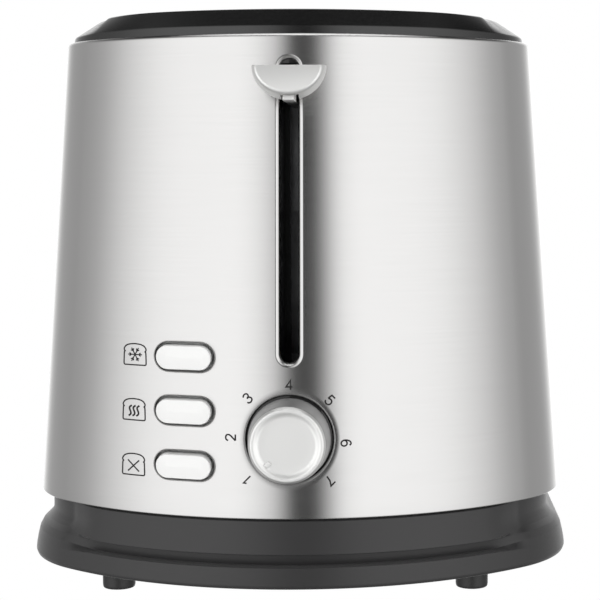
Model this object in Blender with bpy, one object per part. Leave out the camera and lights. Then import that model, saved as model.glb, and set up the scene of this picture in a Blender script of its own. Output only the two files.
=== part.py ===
"""Pop up toaster with two bread wells, as separate named pieces.

Front is -Y, up is +Z. Lengths below are in millimetres and become metres when a mesh is made.
The steel shell is a tube with bowed ends and round corners that leans inwards on its way up,
so each outline is the bottom one moved inwards by an inset.
"""

import math

import bmesh
import bpy
from mathutils import Vector

MM = 0.001
GAP = 0.3                      # clearance between pieces that touch

# Outer shell
HEIGHT = 190.0
SHELL_BOTTOM = 28.5
SHELL_TOP = 181.5
HALF_WIDTH = 90.0
HALF_LENGTH = 135.0
END_RADIUS = 107.0             # bow of the front and the rear
CORNER_RADIUS = 49.0
DRAFT = 10.3                   # how far the shell leans in from bottom to top
SHEET = 0.9                    # steel thickness
SHELL_LIP = 2.7                # rolled edge that holds the cover

# Controls on the front
SLOT_WIDTH = 6.5
SLOT_LOW = 76.9
SLOT_HIGH = 173.7
DIAL_Z = 53.3
DIAL_HOLE = 13.65
KNOB_REACH = 12.5              # how far the dial knob stands out
BUTTON_X = -33.9
BUTTONS = {"defrost_button": 78.75, "reheat_button": 61.65, "cancel_button": 44.35}
BUTTON_HOLE = (19.9, 9.3)
BUTTON_CAP = (18.1, 7.6)
BUTTON_TRAVEL = 2.0

# Carriage
LEVER_TRAVEL = 80.0
LEVER_ARM = (1.8, 159.6, 167.6)      # half width, lowest and highest z
GUIDE_ROD = (-14.0, -78.0)
CARRIAGE_Y = -72.0
LIFTER_Z = 130.0

# Bread wells and chassis
WELL_X = 25.0
WELL_HALF = 16.5
WELL_FRONT = -59.0
WELL_REAR = 83.0
FRONT_PLATE_Y = -64.0
REAR_PLATE_Y = 88.0
PLATE_HALF_WIDTH = 60.0
PLATE_TOP = 176.0
HINGE_Z = 50.0
GUIDE_TOP = 158.0
BAR = 1.6

# Base
DECK_LOW = 24.5
DECK_TOP = 27.0
BASE_BOTTOM = 6.2
TRAY_HALF = 61.0
TRAY_LOW = 9.9
TRAY_HIGH = 20.3
FOOT = (58.6, 105.5)
BOSS = (72.0, 60.0)

FINISHES = {
    "brushed_steel": ((0.78, 0.775, 0.77), 0.30, 1.0),
    "black_plastic": ((0.018, 0.018, 0.018), 0.40, 0.0),
    "grey_plastic": ((0.075, 0.073, 0.074), 0.42, 0.0),
    "foot_rubber": ((0.015, 0.015, 0.015), 0.75, 0.0),
    "silver_plastic": ((0.60, 0.60, 0.60), 0.30, 0.0),
    "white_plastic": ((0.86, 0.86, 0.86), 0.35, 0.0),
    "galvanised_sheet": ((0.52, 0.53, 0.54), 0.38, 1.0),
    "reflector_sheet": ((0.80, 0.80, 0.80), 0.20, 1.0),
    "mica": ((0.62, 0.56, 0.44), 0.55, 0.0),
    "nichrome": ((0.38, 0.35, 0.33), 0.40, 1.0),
    "chromed_wire": ((0.75, 0.75, 0.76), 0.15, 1.0),
    "circuit_board": ((0.30, 0.22, 0.10), 0.50, 0.0),
    "soft_iron": ((0.25, 0.25, 0.26), 0.50, 1.0),
    "copper_winding": ((0.55, 0.24, 0.12), 0.35, 1.0),
    "steel_fastener": ((0.60, 0.60, 0.61), 0.30, 1.0),
}


# ---------------------------------------------------------------- objects

def add_object(name, finish, mesh_data, origin=(0.0, 0.0, 0.0), parent=None):
    """Turn a bmesh in millimetres into a named object whose origin is at the given point."""
    shift = -Vector(origin)
    for vertex in mesh_data.verts:
        vertex.co = (vertex.co + shift) * MM
    bmesh.ops.recalc_face_normals(mesh_data, faces=mesh_data.faces)
    mesh = bpy.data.meshes.new(name)
    mesh_data.to_mesh(mesh)
    mesh_data.free()
    mesh.shade_smooth()
    mesh.set_sharp_from_angle(angle=math.radians(30.0))
    piece = bpy.data.objects.new(name, mesh)
    bpy.context.scene.collection.objects.link(piece)
    piece.parent = parent
    parent_place = Vector((0.0, 0.0, 0.0))
    if parent is not None:
        parent_place = parent.location
    piece.location = Vector(origin) * MM - parent_place
    piece.data.materials.append(new_material(name, finish))
    return piece


def new_material(name, finish):
    colour, roughness, metallic = FINISHES[finish]
    material = bpy.data.materials.new(f"{name}_{finish}")
    material.use_nodes = True
    shader = material.node_tree.nodes["Principled BSDF"]
    shader.inputs["Base Color"].default_value = (*colour, 1.0)
    shader.inputs["Roughness"].default_value = roughness
    shader.inputs["Metallic"].default_value = metallic
    return material


def add_empty(name, place, parent=None):
    empty = bpy.data.objects.new(name, None)
    bpy.context.scene.collection.objects.link(empty)
    empty.empty_display_size = 0.02
    empty.location = Vector(place) * MM
    empty.parent = parent
    return empty


def cut(piece, cutter_mesh):
    """Subtract closed solids, given in millimetres, from a piece."""
    apply_boolean(piece, cutter_mesh, "DIFFERENCE", "cutter")


def fuse(piece, extra_mesh):
    """Join closed solids, given in millimetres, to a piece."""
    apply_boolean(piece, extra_mesh, "UNION", "addition")


def apply_boolean(piece, tool_mesh, operation, suffix):
    for vertex in tool_mesh.verts:
        vertex.co *= MM
    bmesh.ops.recalc_face_normals(tool_mesh, faces=tool_mesh.faces)
    mesh = bpy.data.meshes.new(f"{piece.name}_{suffix}")
    tool_mesh.to_mesh(mesh)
    tool_mesh.free()
    tool = bpy.data.objects.new(mesh.name, mesh)
    bpy.context.scene.collection.objects.link(tool)
    tool.hide_render = True
    tool.display_type = "WIRE"
    modifier = piece.modifiers.new(suffix, "BOOLEAN")
    modifier.operation = operation
    modifier.object = tool


# ---------------------------------------------------------------- shapes

def loft(shape, rings, closed=False):
    """Skin a chain of point rings; an open chain is capped at both ends."""
    rows = [[shape.verts.new(point) for point in ring] for ring in rings]
    count = len(rows[0])
    pairs = list(zip(rows, rows[1:]))
    if closed:
        pairs.append((rows[-1], rows[0]))
    for lower, upper in pairs:
        for index in range(count):
            after = (index + 1) % count
            shape.faces.new((lower[index], lower[after], upper[after], upper[index]))
    if not closed:
        shape.faces.new(reversed(rows[0]))
        shape.faces.new(rows[-1])
    return shape


def place_point(axis, first, second, along):
    """Put a flat point into space: the axis names the direction that the third number runs."""
    if axis == "x":
        return (along, first, second)
    if axis == "y":
        return (first, along, second)
    return (first, second, along)


def prism(shape, outline, axis, low, high):
    return loft(shape, [[place_point(axis, a, b, at) for a, b in outline] for at in (low, high)])


def box(shape, x_range, y_range, z_range):
    corners = [(x_range[0], y_range[0]), (x_range[1], y_range[0]),
               (x_range[1], y_range[1]), (x_range[0], y_range[1])]
    return prism(shape, corners, "z", *z_range)


def circle(centre, radius, sides=16):
    turns = [2.0 * math.pi * index / sides for index in range(sides)]
    return [(centre[0] + radius * math.cos(turn), centre[1] + radius * math.sin(turn)) for turn in turns]


def obround(centre, width, height, steps=7):
    """Slot outline with round ends, lying or standing."""
    radius = min(width, height) / 2.0
    reach_x = width / 2.0 - radius
    reach_z = height / 2.0 - radius
    points = []
    for index in range(2 * steps + 2):
        half = index // (steps + 1)
        turn = math.pi * (half + (index - half * (steps + 1)) / steps)
        if reach_x > reach_z:
            turn -= math.pi / 2.0
        side = 1.0 - 2.0 * half
        points.append((centre[0] + side * reach_x + radius * math.cos(turn),
                       centre[1] + side * reach_z + radius * math.sin(turn)))
    return points


def lathe(shape, centre, profile, sides=28):
    """Turn (radius, y) pairs about a line along Y through centre = (x, z)."""
    rings = [[(a, along, b) for a, b in circle(centre, radius, sides)] for radius, along in profile]
    return loft(shape, rings)


def lattice(shape, centre_x, thickness, y_lines, z_lines, is_filled):
    """Flat grille across X: cells of a grid are either solid or open."""
    sides = (centre_x - thickness / 2.0, centre_x + thickness / 2.0)
    cells = {(i, j) for i in range(len(y_lines) - 1) for j in range(len(z_lines) - 1) if is_filled(i, j)}
    corners = {}

    def corner(side, i, j):
        key = (side, i, j)
        if key not in corners:
            corners[key] = shape.verts.new((sides[side], y_lines[i], z_lines[j]))
        return corners[key]

    for i, j in cells:
        loop = [(i, j), (i + 1, j), (i + 1, j + 1), (i, j + 1)]
        shape.faces.new([corner(1, *at) for at in loop])
        shape.faces.new([corner(0, *at) for at in reversed(loop)])
        neighbours = [(i, j - 1), (i + 1, j), (i, j + 1), (i - 1, j)]
        for neighbour, start, end in zip(neighbours, loop, loop[1:] + loop[:1]):
            if neighbour not in cells:
                shape.faces.new((corner(0, *start), corner(0, *end), corner(1, *end), corner(1, *start)))
    return shape


def tube(shape, path, radius, sides=5):
    """Round wire along a path of points."""
    path = [Vector(point) for point in path]
    rings = []
    for index, point in enumerate(path):
        ahead = path[min(index + 1, len(path) - 1)] - path[max(index - 1, 0)]
        across = ahead.cross(Vector((0.0, 0.0, 1.0))).normalized()
        rise = across.cross(ahead).normalized()
        turns = [2.0 * math.pi * step / sides for step in range(sides)]
        rings.append([point + radius * (math.cos(t) * across + math.sin(t) * rise) for t in turns])
    return loft(shape, rings)


# ---------------------------------------------------------------- the shell's outline

ARC_CENTRE_Y = HALF_LENGTH - END_RADIUS
CORNER_CENTRE_X = HALF_WIDTH - CORNER_RADIUS
TANGENT = math.asin(CORNER_CENTRE_X / (END_RADIUS - CORNER_RADIUS))
CORNER_CENTRE_Y = ARC_CENTRE_Y + (END_RADIUS - CORNER_RADIUS) * math.cos(TANGENT)
ARC_STEPS = 5
CORNER_STEPS = 5


def quarter_stations():
    """Stations from the middle of the front to the middle of the right side, angle 0 facing -Y."""
    stations = [(0.0, -ARC_CENTRE_Y, END_RADIUS, TANGENT * step / ARC_STEPS) for step in range(ARC_STEPS)]
    for step in range(CORNER_STEPS + 1):
        angle = TANGENT + (math.pi / 2.0 - TANGENT) * step / CORNER_STEPS
        stations.append((CORNER_CENTRE_X, -CORNER_CENTRE_Y, CORNER_RADIUS, angle))
    return stations


def outline_stations():
    front_right = quarter_stations()
    rear_right = [(x, -y, radius, math.pi - angle) for x, y, radius, angle in reversed(front_right)]
    right = front_right + rear_right
    left = [(-x, y, radius, 2.0 * math.pi - angle) for x, y, radius, angle in reversed(right)]
    return right + left[1:-1]


STATIONS = outline_stations()


def ring(z_end, inset_end, z_side=None, inset_side=None, front_only=False):
    """Outline moved inwards by an inset. Its ends and its sides may differ in height and inset."""
    if z_side is None:
        z_side = z_end
        inset_side = inset_end
    points = []
    for centre_x, centre_y, radius, angle in STATIONS:
        share = end_share(angle, front_only)
        inset = inset_side + share * (inset_end - inset_side)
        z = z_side + share * (z_end - z_side)
        reach = radius - inset
        points.append((centre_x + reach * math.sin(angle), centre_y - reach * math.cos(angle), z))
    return points


def end_share(angle, front_only):
    """1 where the outline faces the front or the rear, 0 on the sides, smooth between."""
    turn = abs(math.remainder(angle, 2.0 * math.pi))
    if not front_only:
        turn = min(turn, math.pi - turn)
    blend = (math.radians(46.0) - turn) / math.radians(14.0)
    blend = min(1.0, max(0.0, blend))
    return blend * blend * (3.0 - 2.0 * blend)


def lean(z):
    """How far the shell has moved inwards at height z."""
    return DRAFT * (z - SHELL_BOTTOM) / (SHELL_TOP - SHELL_BOTTOM)


def front_y(x, z, inset=0.0):
    """Where the front of the shell is, at x and z, or a surface that runs an inset behind it."""
    radius = END_RADIUS - lean(z) - inset
    return -ARC_CENTRE_Y - math.sqrt(radius * radius - x * x)


KNOB_FRONT = front_y(0.0, DIAL_Z) - KNOB_REACH


# ---------------------------------------------------------------- base

def build_base_skirt(parent):
    """Plastic base: a narrow neck, a flared side, a grooved front and a deck with a crumb opening."""
    outside = [
        ring(28.2, 3.0, 28.2, 3.7, True),
        ring(27.4, 0.6, 27.4, 3.7, True),
        ring(21.5, -0.2, 21.2, 3.7, True),
        ring(17.1, -0.9, 19.0, 1.9, True),
        ring(16.7, 1.2, 17.4, 0.1, True),
        ring(14.6, 1.6, 15.2, -1.1, True),
        ring(13.1, -1.5, 12.4, -1.8, True),
        ring(7.2, -2.0, 7.6, -2.5, True),
        ring(BASE_BOTTOM, -1.5, BASE_BOTTOM, -1.9, True),
    ]
    inside = [
        ring(BASE_BOTTOM, 1.6, BASE_BOTTOM, 1.0, True),
        ring(14.0, 4.4, 14.0, 1.2, True),
        ring(20.0, 4.2, 20.0, 4.8, True),
        ring(DECK_LOW, 5.8),
    ]
    opening = [(x * 0.6, y * 0.55 + 12.0) for x, y, _ in ring(0.0, 0.0)]
    deck = [[(x, y, z) for x, y in opening] for z in (DECK_LOW, DECK_TOP)]
    deck += [ring(DECK_TOP, 5.6), ring(28.2, 5.6)]
    base = add_object("base_skirt", "grey_plastic", loft(bmesh.new(), outside + inside + deck, True),
                      parent=parent)

    bosses = bmesh.new()
    for x, y in four_corners(*BOSS):
        prism(bosses, circle((x, y), 4.5), "z", 9.9, DECK_LOW + 1.0)
    fuse(base, bosses)

    openings = bmesh.new()
    box(openings, (-TRAY_HALF - 0.6, TRAY_HALF + 0.6), (104.0, 160.0), (TRAY_LOW - 0.4, TRAY_HIGH + 0.4))
    for x, y in four_corners(*BOSS):
        prism(openings, circle((x, y), 1.9, 8), "z", 8.0, 20.0)
    for x, y in chassis_screw_places():
        prism(openings, circle((x, y), 1.6, 8), "z", DECK_LOW - 1.0, DECK_TOP + 1.0)
    prism(openings, circle((GLAND_X, GLAND_Z), 5.1, 12), "y", 95.0, 130.0)
    cut(base, openings)


def four_corners(x, y):
    return [(x, y), (-x, y), (-x, -y), (x, -y)]


def chassis_screw_places():
    front, rear = FRONT_PLATE_Y - 4.5, REAR_PLATE_Y + 5.5
    return [(45.0, rear), (-45.0, rear), (-45.0, front), (45.0, front)]


GLAND_X = -69.0
GLAND_Z = 15.0


def build_bottom_plate(parent):
    plate = loft(bmesh.new(), [ring(8.0, 4.4), ring(9.5, 4.4)])
    piece = add_object("bottom_plate", "galvanised_sheet", plate, parent=parent)
    holes = bmesh.new()
    for x, y in four_corners(*BOSS):
        prism(holes, circle((x, y), 1.9, 8), "z", 7.0, 10.5)
    cut(piece, holes)


def build_feet(parent):
    for corner, (x, y) in zip(CORNER_NAMES, four_corners(*FOOT)):
        foot = loft(bmesh.new(), [[(a, b, z) for a, b in circle((0.0, 0.0), radius)]
                                  for radius, z in ((4.8, 0.0), (5.2, 0.5), (5.4, 8.0 - GAP))])
        piece = add_object(f"foot_{corner}", "foot_rubber", foot, parent=parent)
        piece.location = Vector((x, y, 0.0)) * MM


CORNER_NAMES = ("rear_right", "rear_left", "front_left", "front_right")


def build_screw(name, x, y, head_outer, head_inner, shank_end, parent):
    """Pan head screw standing on Z: its head, then its shank running on to shank_end."""
    crown = head_outer + 0.6 * (head_inner - head_outer)
    profile = [(2.2, head_outer), (3.1, crown), (3.1, head_inner), (1.3, head_inner), (1.3, shank_end)]
    rings = [[(a, b, z) for a, b in circle((x, y), radius, 10)] for radius, z in profile]
    add_object(name, "steel_fastener", loft(bmesh.new(), rings), (x, y, head_inner), parent)


def build_screws(parent):
    for corner, (x, y) in zip(CORNER_NAMES, four_corners(*BOSS)):
        build_screw(f"base_screw_{corner}", x, y, 5.9, 7.7, 18.0, parent)
    for corner, (x, y) in zip(CORNER_NAMES, chassis_screw_places()):
        build_screw(f"chassis_screw_{corner}", x, y, 30.4, 28.6, 22.5, parent)


def build_cord_gland(parent):
    """Bush where the mains lead enters the base, open right through."""
    profile = ((4.8, 101.0), (4.8, 118.6), (6.2, 119.0), (6.2, 121.0), (4.9, 126.0))
    bore = ((3.2, 126.0), (3.2, 101.0))
    rings = [[(a, y, b) for a, b in circle((GLAND_X, GLAND_Z), radius, 16)] for radius, y in profile + bore]
    add_object("cord_gland", "black_plastic", loft(bmesh.new(), rings, True), parent=parent)


def build_crumb_tray(slide):
    """Shallow open tray that draws out of the rear on a moulded handle."""
    front, rear, wall = -66.0, 112.0, 0.8
    half = TRAY_HALF - 1.0
    rims = [((half, front, rear), TRAY_HIGH - 0.5), ((half, front, rear), TRAY_LOW),
            ((half - wall, front + wall, rear - wall), TRAY_LOW + wall),
            ((half - wall, front + wall, rear - wall), TRAY_HIGH - 0.5)]
    rims = [rims[1], rims[0], rims[3], rims[2]]
    rings = [[(-w, f, z), (w, f, z), (w, r, z), (-w, r, z)] for (w, f, r), z in rims]
    add_object("crumb_tray", "galvanised_sheet", loft(bmesh.new(), rings), parent=slide)

    back = rear + GAP
    grip_half = 22.0
    steps = 6
    right = []
    for step in range(steps + 1):
        x = TRAY_HALF + (grip_half - TRAY_HALF) * step / steps
        right.append((x, -front_y(x, SHELL_BOTTOM, -1.8)))
    right += [(grip_half - 2.0, -KNOB_FRONT - 1.5), (grip_half - 4.0, -KNOB_FRONT)]
    left = [(-x, y) for x, y in reversed(right)]
    outline = [(-TRAY_HALF, back), (TRAY_HALF, back)] + right + left
    handle = prism(bmesh.new(), outline, "z", TRAY_LOW, TRAY_HIGH)
    add_object("tray_handle", "grey_plastic", handle, parent=slide)


# ---------------------------------------------------------------- shell and cover

def button_cutters(shape, size):
    for z in BUTTONS.values():
        prism(shape, obround((BUTTON_X, z), *size), "y", -150.0, -95.0)


def build_steel_wrap(parent):
    outer = [ring(SHELL_BOTTOM, 1.5), ring(29.9, lean(29.9)), ring(178.8, lean(178.8)),
             ring(180.8, lean(178.8) + 0.9), ring(SHELL_TOP, DRAFT + SHELL_LIP)]
    inner = [ring(SHELL_TOP - SHEET, DRAFT + SHELL_LIP), ring(178.4, lean(178.4) + SHEET),
             ring(30.3, lean(30.3) + SHEET), ring(SHELL_BOTTOM + 0.6, 2.1)]
    wrap = add_object("steel_wrap", "brushed_steel", loft(bmesh.new(), outer + inner, True), parent=parent)
    openings = bmesh.new()
    middle = (SLOT_LOW + SLOT_HIGH) / 2.0
    prism(openings, obround((0.0, middle), SLOT_WIDTH, SLOT_HIGH - SLOT_LOW), "y", -150.0, -95.0)
    prism(openings, circle((0.0, DIAL_Z), DIAL_HOLE, 28), "y", -150.0, -95.0)
    button_cutters(openings, BUTTON_HOLE)
    cut(wrap, openings)


def build_top_cover(parent):
    """Lid inside the rolled edge: a light step then a steep wall at the ends, a long slope at the sides."""
    edge = DRAFT + SHELL_LIP + GAP
    inside = [ring(187.6, edge + 9.0, 187.6, edge + 13.0), ring(185.0, edge + 8.0, 186.2, edge + 11.0),
              ring(181.0, edge + 2.2), ring(176.0, edge + 2.2)]
    outside = [ring(176.0, edge), ring(182.3, edge, 183.0, edge), ring(184.5, edge + 3.5, 185.7, edge + 3.8),
               ring(189.3, edge + 5.7, 189.5, edge + 9.3), ring(HEIGHT, edge + 7.6, HEIGHT, edge + 12.0)]
    cover = add_object("top_cover", "black_plastic", loft(bmesh.new(), inside + outside), parent=parent)
    slots = bmesh.new()
    for sign in (-1.0, 1.0):
        box(slots, (sign * WELL_X - WELL_HALF, sign * WELL_X + WELL_HALF), (WELL_FRONT, WELL_REAR),
            (170.0, 200.0))
    cut(cover, slots)


def build_slot_throats(parent):
    """Sheet steel sleeves under the two slots."""
    for name, sign in (("slot_throat_left", -1.0), ("slot_throat_right", 1.0)):
        middle = sign * WELL_X
        walls = []
        for grow, z in ((1.1, 166.0), (1.1, 187.3), (0.3, 187.3), (0.3, 166.0)):
            left, right = middle - WELL_HALF - grow, middle + WELL_HALF + grow
            front, rear = WELL_FRONT - grow, WELL_REAR + grow
            walls.append([(left, front, z), (right, front, z), (right, rear, z), (left, rear, z)])
        add_object(name, "reflector_sheet", loft(bmesh.new(), walls, True), parent=parent)


def build_control_carrier(parent):
    """Moulding behind the steel front that carries the dial and the buttons.
    A channel behind the lever slot hides the mechanism, with a narrow slit for the lever arm.
    """
    rings = []
    for z in (36.0, 175.4):
        xs = [50.0 - 10.0 * step for step in range(11)]
        face = [(x, front_y(x, z, 1.4), z) for x in xs]
        back = [(x, front_y(x, z, 3.6), z) for x in reversed(xs)]
        rings.append(face + back)
    carrier = add_object("control_carrier", "black_plastic", loft(bmesh.new(), rings), parent=parent)
    inset, back = 2.4, -78.6
    low, high = 73.4, 173.6
    channel = [(front_y(0.0, low, inset), low), (back, low), (back, high), (front_y(0.0, high, inset), high)]
    fuse(carrier, prism(bmesh.new(), channel, "x", -5.8, 5.8))
    cut(carrier, box(bmesh.new(), (-2.6, 2.6), (back - 3.0, back + 3.0), (75.0, 172.0)))
    openings = bmesh.new()
    box(openings, (-4.4, 4.4), (-150.0, back - 1.4), (75.0, 172.0))
    prism(openings, circle((0.0, DIAL_Z), 4.2, 12), "y", -150.0, -100.0)
    button_cutters(openings, BUTTON_HOLE)
    cut(carrier, openings)
    recess_floor = front_y(0.0, DIAL_Z) + 2.0
    cut(carrier, prism(bmesh.new(), circle((0.0, DIAL_Z), 13.9, 28), "y", -150.0, recess_floor))


# ---------------------------------------------------------------- chassis and heaters

def build_chassis_plate(name, plate_y, out, parent):
    """Upright sheet with a foot that points away from the bread wells (out is -1 or 1)."""
    near = plate_y
    far = plate_y + out
    toe = plate_y + 10.0 * out
    low = DECK_TOP + GAP
    profile = [(near, low), (near, PLATE_TOP), (far, PLATE_TOP), (far, low + 1.0), (toe, low + 1.0), (toe, low)]
    plate = add_object(name, "galvanised_sheet",
                       prism(bmesh.new(), profile, "x", -PLATE_HALF_WIDTH, PLATE_HALF_WIDTH), parent=parent)
    holes = bmesh.new()
    across = (plate_y - 3.0, plate_y + 3.0)
    for sign in (-1.0, 1.0):
        middle = sign * WELL_X
        box(holes, (middle - 3.6, middle + 3.6), across, (LIFTER_Z - LEVER_TRAVEL - 6.0, LIFTER_Z + 6.0))
        for side in (-1.0, 1.0):
            prism(holes, circle((middle + side * WELL_HALF, HINGE_Z), 1.6, 8), "y", *across)
    for x, y in chassis_screw_places():
        if (y - plate_y) * out > 0.0:
            prism(holes, circle((x, y), 1.6, 8), "z", low - 1.0, low + 2.0)
    cut(plate, holes)


def build_chassis(parent):
    build_chassis_plate("chassis_front_plate", FRONT_PLATE_Y + 1.0, -1.0, parent)
    build_chassis_plate("chassis_rear_plate", REAR_PLATE_Y, 1.0, parent)
    front = FRONT_PLATE_Y + 1.0 + GAP
    rear = REAR_PLATE_Y - GAP
    for name, x in (("side_reflector_left", -56.4), ("side_reflector_right", 55.6)):
        sheet = box(bmesh.new(), (x, x + 0.8), (front, rear), (DECK_TOP + GAP, 172.0))
        add_object(name, "reflector_sheet", sheet, parent=parent)


def build_heaters(parent):
    """Mica boards, each wound from front to rear with one ribbon."""
    front = FRONT_PLATE_Y + 1.0 + GAP
    rear = REAR_PLATE_Y - GAP
    low, high, turns = 54.0, 158.0, 12
    for side, x in (("left", -50.0), ("centre", 0.0), ("right", 50.0)):
        board = box(bmesh.new(), (x - 0.4, x + 0.4), (front, rear), (low, high))
        add_object(f"heater_board_{side}", "mica", board, parent=parent)
        winding = []
        for quarter in range(4 * turns + 1):
            across, up = ((-1.0, -1.0), (1.0, -1.0), (1.0, 1.0), (-1.0, 1.0))[quarter % 4]
            y = -52.0 + 128.0 * quarter / (4 * turns)
            corner = []
            for stand_off, along in ((0.7, y - 0.8), (1.1, y - 0.8), (1.1, y + 0.8), (0.7, y + 0.8)):
                edge = high if up > 0.0 else low
                corner.append((x + across * stand_off, along, edge + up * stand_off))
            winding.append(corner)
        add_object(f"heater_winding_{side}", "nichrome", loft(bmesh.new(), winding), parent=parent)


def build_bread_guides(parent):
    """Four hinged grilles that close on the bread as the carriage goes down."""
    bars = 8
    y_lines = [WELL_FRONT - 8.0]
    for index in range(bars):
        y = WELL_FRONT + 3.0 + (WELL_REAR - WELL_FRONT - 6.0) * index / (bars - 1)
        y_lines += [y - BAR / 2.0, y + BAR / 2.0]
    y_lines.append(WELL_REAR + 8.0)
    half = BAR / 2.0
    middle = (HINGE_Z + GUIDE_TOP) / 2.0
    z_lines = [HINGE_Z - half, HINGE_Z + half, middle - half, middle + half, GUIDE_TOP - BAR, GUIDE_TOP]

    def is_filled(i, j):
        if j == 0:
            return True
        is_pin = i in (0, len(y_lines) - 2)
        return not is_pin and (j in (2, 4) or i % 2 == 1)

    for side, sign in (("left", -1.0), ("right", 1.0)):
        for place, offset in (("outer", sign * WELL_HALF), ("inner", -sign * WELL_HALF)):
            x = sign * WELL_X + offset
            grille = lattice(bmesh.new(), x, BAR, y_lines, z_lines, is_filled)
            add_object(f"bread_guide_{side}_{place}", "chromed_wire", grille,
                       (x, (WELL_FRONT + WELL_REAR) / 2.0, HINGE_Z), parent)


# ---------------------------------------------------------------- carriage

def build_guide_rod(parent):
    x, y = GUIDE_ROD
    rod = prism(bmesh.new(), circle((x, y), 2.5), "z", 34.0, 169.2)
    add_object("guide_rod", "steel_fastener", rod, parent=parent)
    bracket = box(bmesh.new(), (x - 6.0, x + 6.0), (y - 6.0, FRONT_PLATE_Y - GAP), (169.5, 171.5))
    add_object("guide_rod_bracket", "galvanised_sheet", bracket, parent=parent)
    foot = box(bmesh.new(), (x - 6.0, x + 6.0), (y - 6.0, y + 4.6), (DECK_TOP + GAP, 33.7))
    add_object("guide_rod_foot", "black_plastic", foot, parent=parent)


def build_carriage(carriage):
    x, y = GUIDE_ROD
    plate_back = CARRIAGE_Y + 1.2
    outline = [(-31.0, 124.0), (31.0, 124.0), (31.0, 136.0), (20.0, 140.0), (20.0, 168.0),
               (-20.0, 168.0), (-20.0, 140.0), (-31.0, 136.0)]
    plate = prism(bmesh.new(), outline, "y", CARRIAGE_Y, plate_back)
    add_object("carriage_plate", "galvanised_sheet", plate, parent=carriage)

    bush = box(bmesh.new(), (x - 5.0, x + 5.0), (y - 5.0, CARRIAGE_Y - GAP), (146.0, 162.0))
    piece = add_object("carriage_bush", "white_plastic", bush, parent=carriage)
    cut(piece, prism(bmesh.new(), circle((x, y), 2.9), "z", 140.0, 170.0))

    half, low, high = LEVER_ARM
    arm = box(bmesh.new(), (-half, half), (LEVER_KNOB_BACK + GAP, CARRIAGE_Y - GAP), (low, high))
    add_object("lever_arm", "galvanised_sheet", arm, parent=carriage)

    armature = box(bmesh.new(), (14.0, 30.0), (-90.0, CARRIAGE_Y - GAP), (130.6, 133.0))
    add_object("latch_armature", "soft_iron", armature, parent=carriage)

    for name, middle in (("bread_lifter_left", -WELL_X), ("bread_lifter_right", WELL_X)):
        add_object(name, "galvanised_sheet", lifter_shape(middle, plate_back), parent=carriage)


def lifter_shape(middle, plate_back):
    """Rack that carries the bread, with a tongue at each end that runs in the chassis slots."""
    tongue, rack = 2.5, 6.0
    stations = [(plate_back + GAP, tongue), (WELL_FRONT, tongue), (WELL_FRONT + 1.0, rack),
                (WELL_REAR - 3.0, rack), (WELL_REAR - 2.0, tongue), (REAR_PLATE_Y + 5.0, tongue)]
    right = [(middle + half, y) for y, half in stations]
    left = [(middle - half, y) for y, half in reversed(stations)]
    return prism(bmesh.new(), right + left, "z", LIFTER_Z, LIFTER_Z + 2.0)


LEVER_KNOB_BACK = front_y(0.0, 166.0) - 6.6
LEVER_KNOB_DEPTH = 8.0


def build_lever_knob(carriage):
    """Half-moon thumb piece with a flat top, a little smaller at its face."""
    def half_moon(half_width, top, low, y):
        turns = [math.pi * (1.0 + step / 12.0) for step in range(13)]
        return [(half_width * math.cos(t), y, top + (top - low) * math.sin(t)) for t in turns]

    rings = [half_moon(11.4, 170.6, 160.2, LEVER_KNOB_BACK),
             half_moon(11.8, 170.6, 159.9, LEVER_KNOB_BACK - 1.0),
             half_moon(10.9, 170.6, 161.2, LEVER_KNOB_BACK - LEVER_KNOB_DEPTH + 1.0),
             half_moon(10.1, 170.2, 162.2, LEVER_KNOB_BACK - LEVER_KNOB_DEPTH)]
    add_object("lever_knob", "silver_plastic", loft(bmesh.new(), rings), parent=carriage)


def build_return_spring(parent):
    """Compression spring on the guide rod, between its foot and the carriage bush."""
    x, y = GUIDE_ROD
    turns, steps, wire, coil = 14, 9, 0.6, 4.0
    low, high = 33.7 + GAP + wire, 146.0 - GAP - wire
    path = []
    for index in range(turns * steps + 1):
        turn = 2.0 * math.pi * index / steps
        rise = low + (high - low) * index / (turns * steps)
        path.append((x + coil * math.cos(turn), y + coil * math.sin(turn), rise))
    add_object("return_spring", "steel_fastener", tube(bmesh.new(), path, wire), parent=parent)


# ---------------------------------------------------------------- controls

SWITCH_FRONT = -114.3
BOARD_FRONT = -108.0


def build_dial(axis):
    centre = (0.0, DIAL_Z)
    place = (0.0, front_y(0.0, DIAL_Z), DIAL_Z)
    back = place[1] + 1.0
    profile = [(13.1, back), (13.2, back - 1.0), (12.0, KNOB_FRONT + 1.4), (11.2, KNOB_FRONT),
               (10.0, KNOB_FRONT + 0.2), (8.8, KNOB_FRONT + 1.4)]
    add_object("dial_knob", "silver_plastic", lathe(bmesh.new(), centre, profile), place, axis)
    shaft = lathe(bmesh.new(), centre, [(3.0, back + GAP), (3.0, BOARD_FRONT - 10.0 - GAP)], 12)
    add_object("dial_shaft", "steel_fastener", shaft, place, axis)


def build_buttons(parent):
    """Each button is one moulding: cap, retaining flange behind the carrier, and stem."""
    for name, z in BUTTONS.items():
        rings = []
        for width, height, inset in ((17.3, 6.8, -3.0), (*BUTTON_CAP, -2.4), (*BUTTON_CAP, 4.3),
                                     (23.0, 12.6, 4.3), (23.0, 12.6, 5.5), (5.0, 4.0, 5.5)):
            outline = obround((BUTTON_X, z), width, height)
            rings.append([(x, front_y(x, z, inset), height_z) for x, height_z in outline])
        rings.append([(x, SWITCH_FRONT - BUTTON_TRAVEL - GAP, height_z)
                      for x, height_z in obround((BUTTON_X, z), 5.0, 4.0)])
        add_object(name, "white_plastic", loft(bmesh.new(), rings), (BUTTON_X, front_y(BUTTON_X, z), z), parent)


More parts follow.
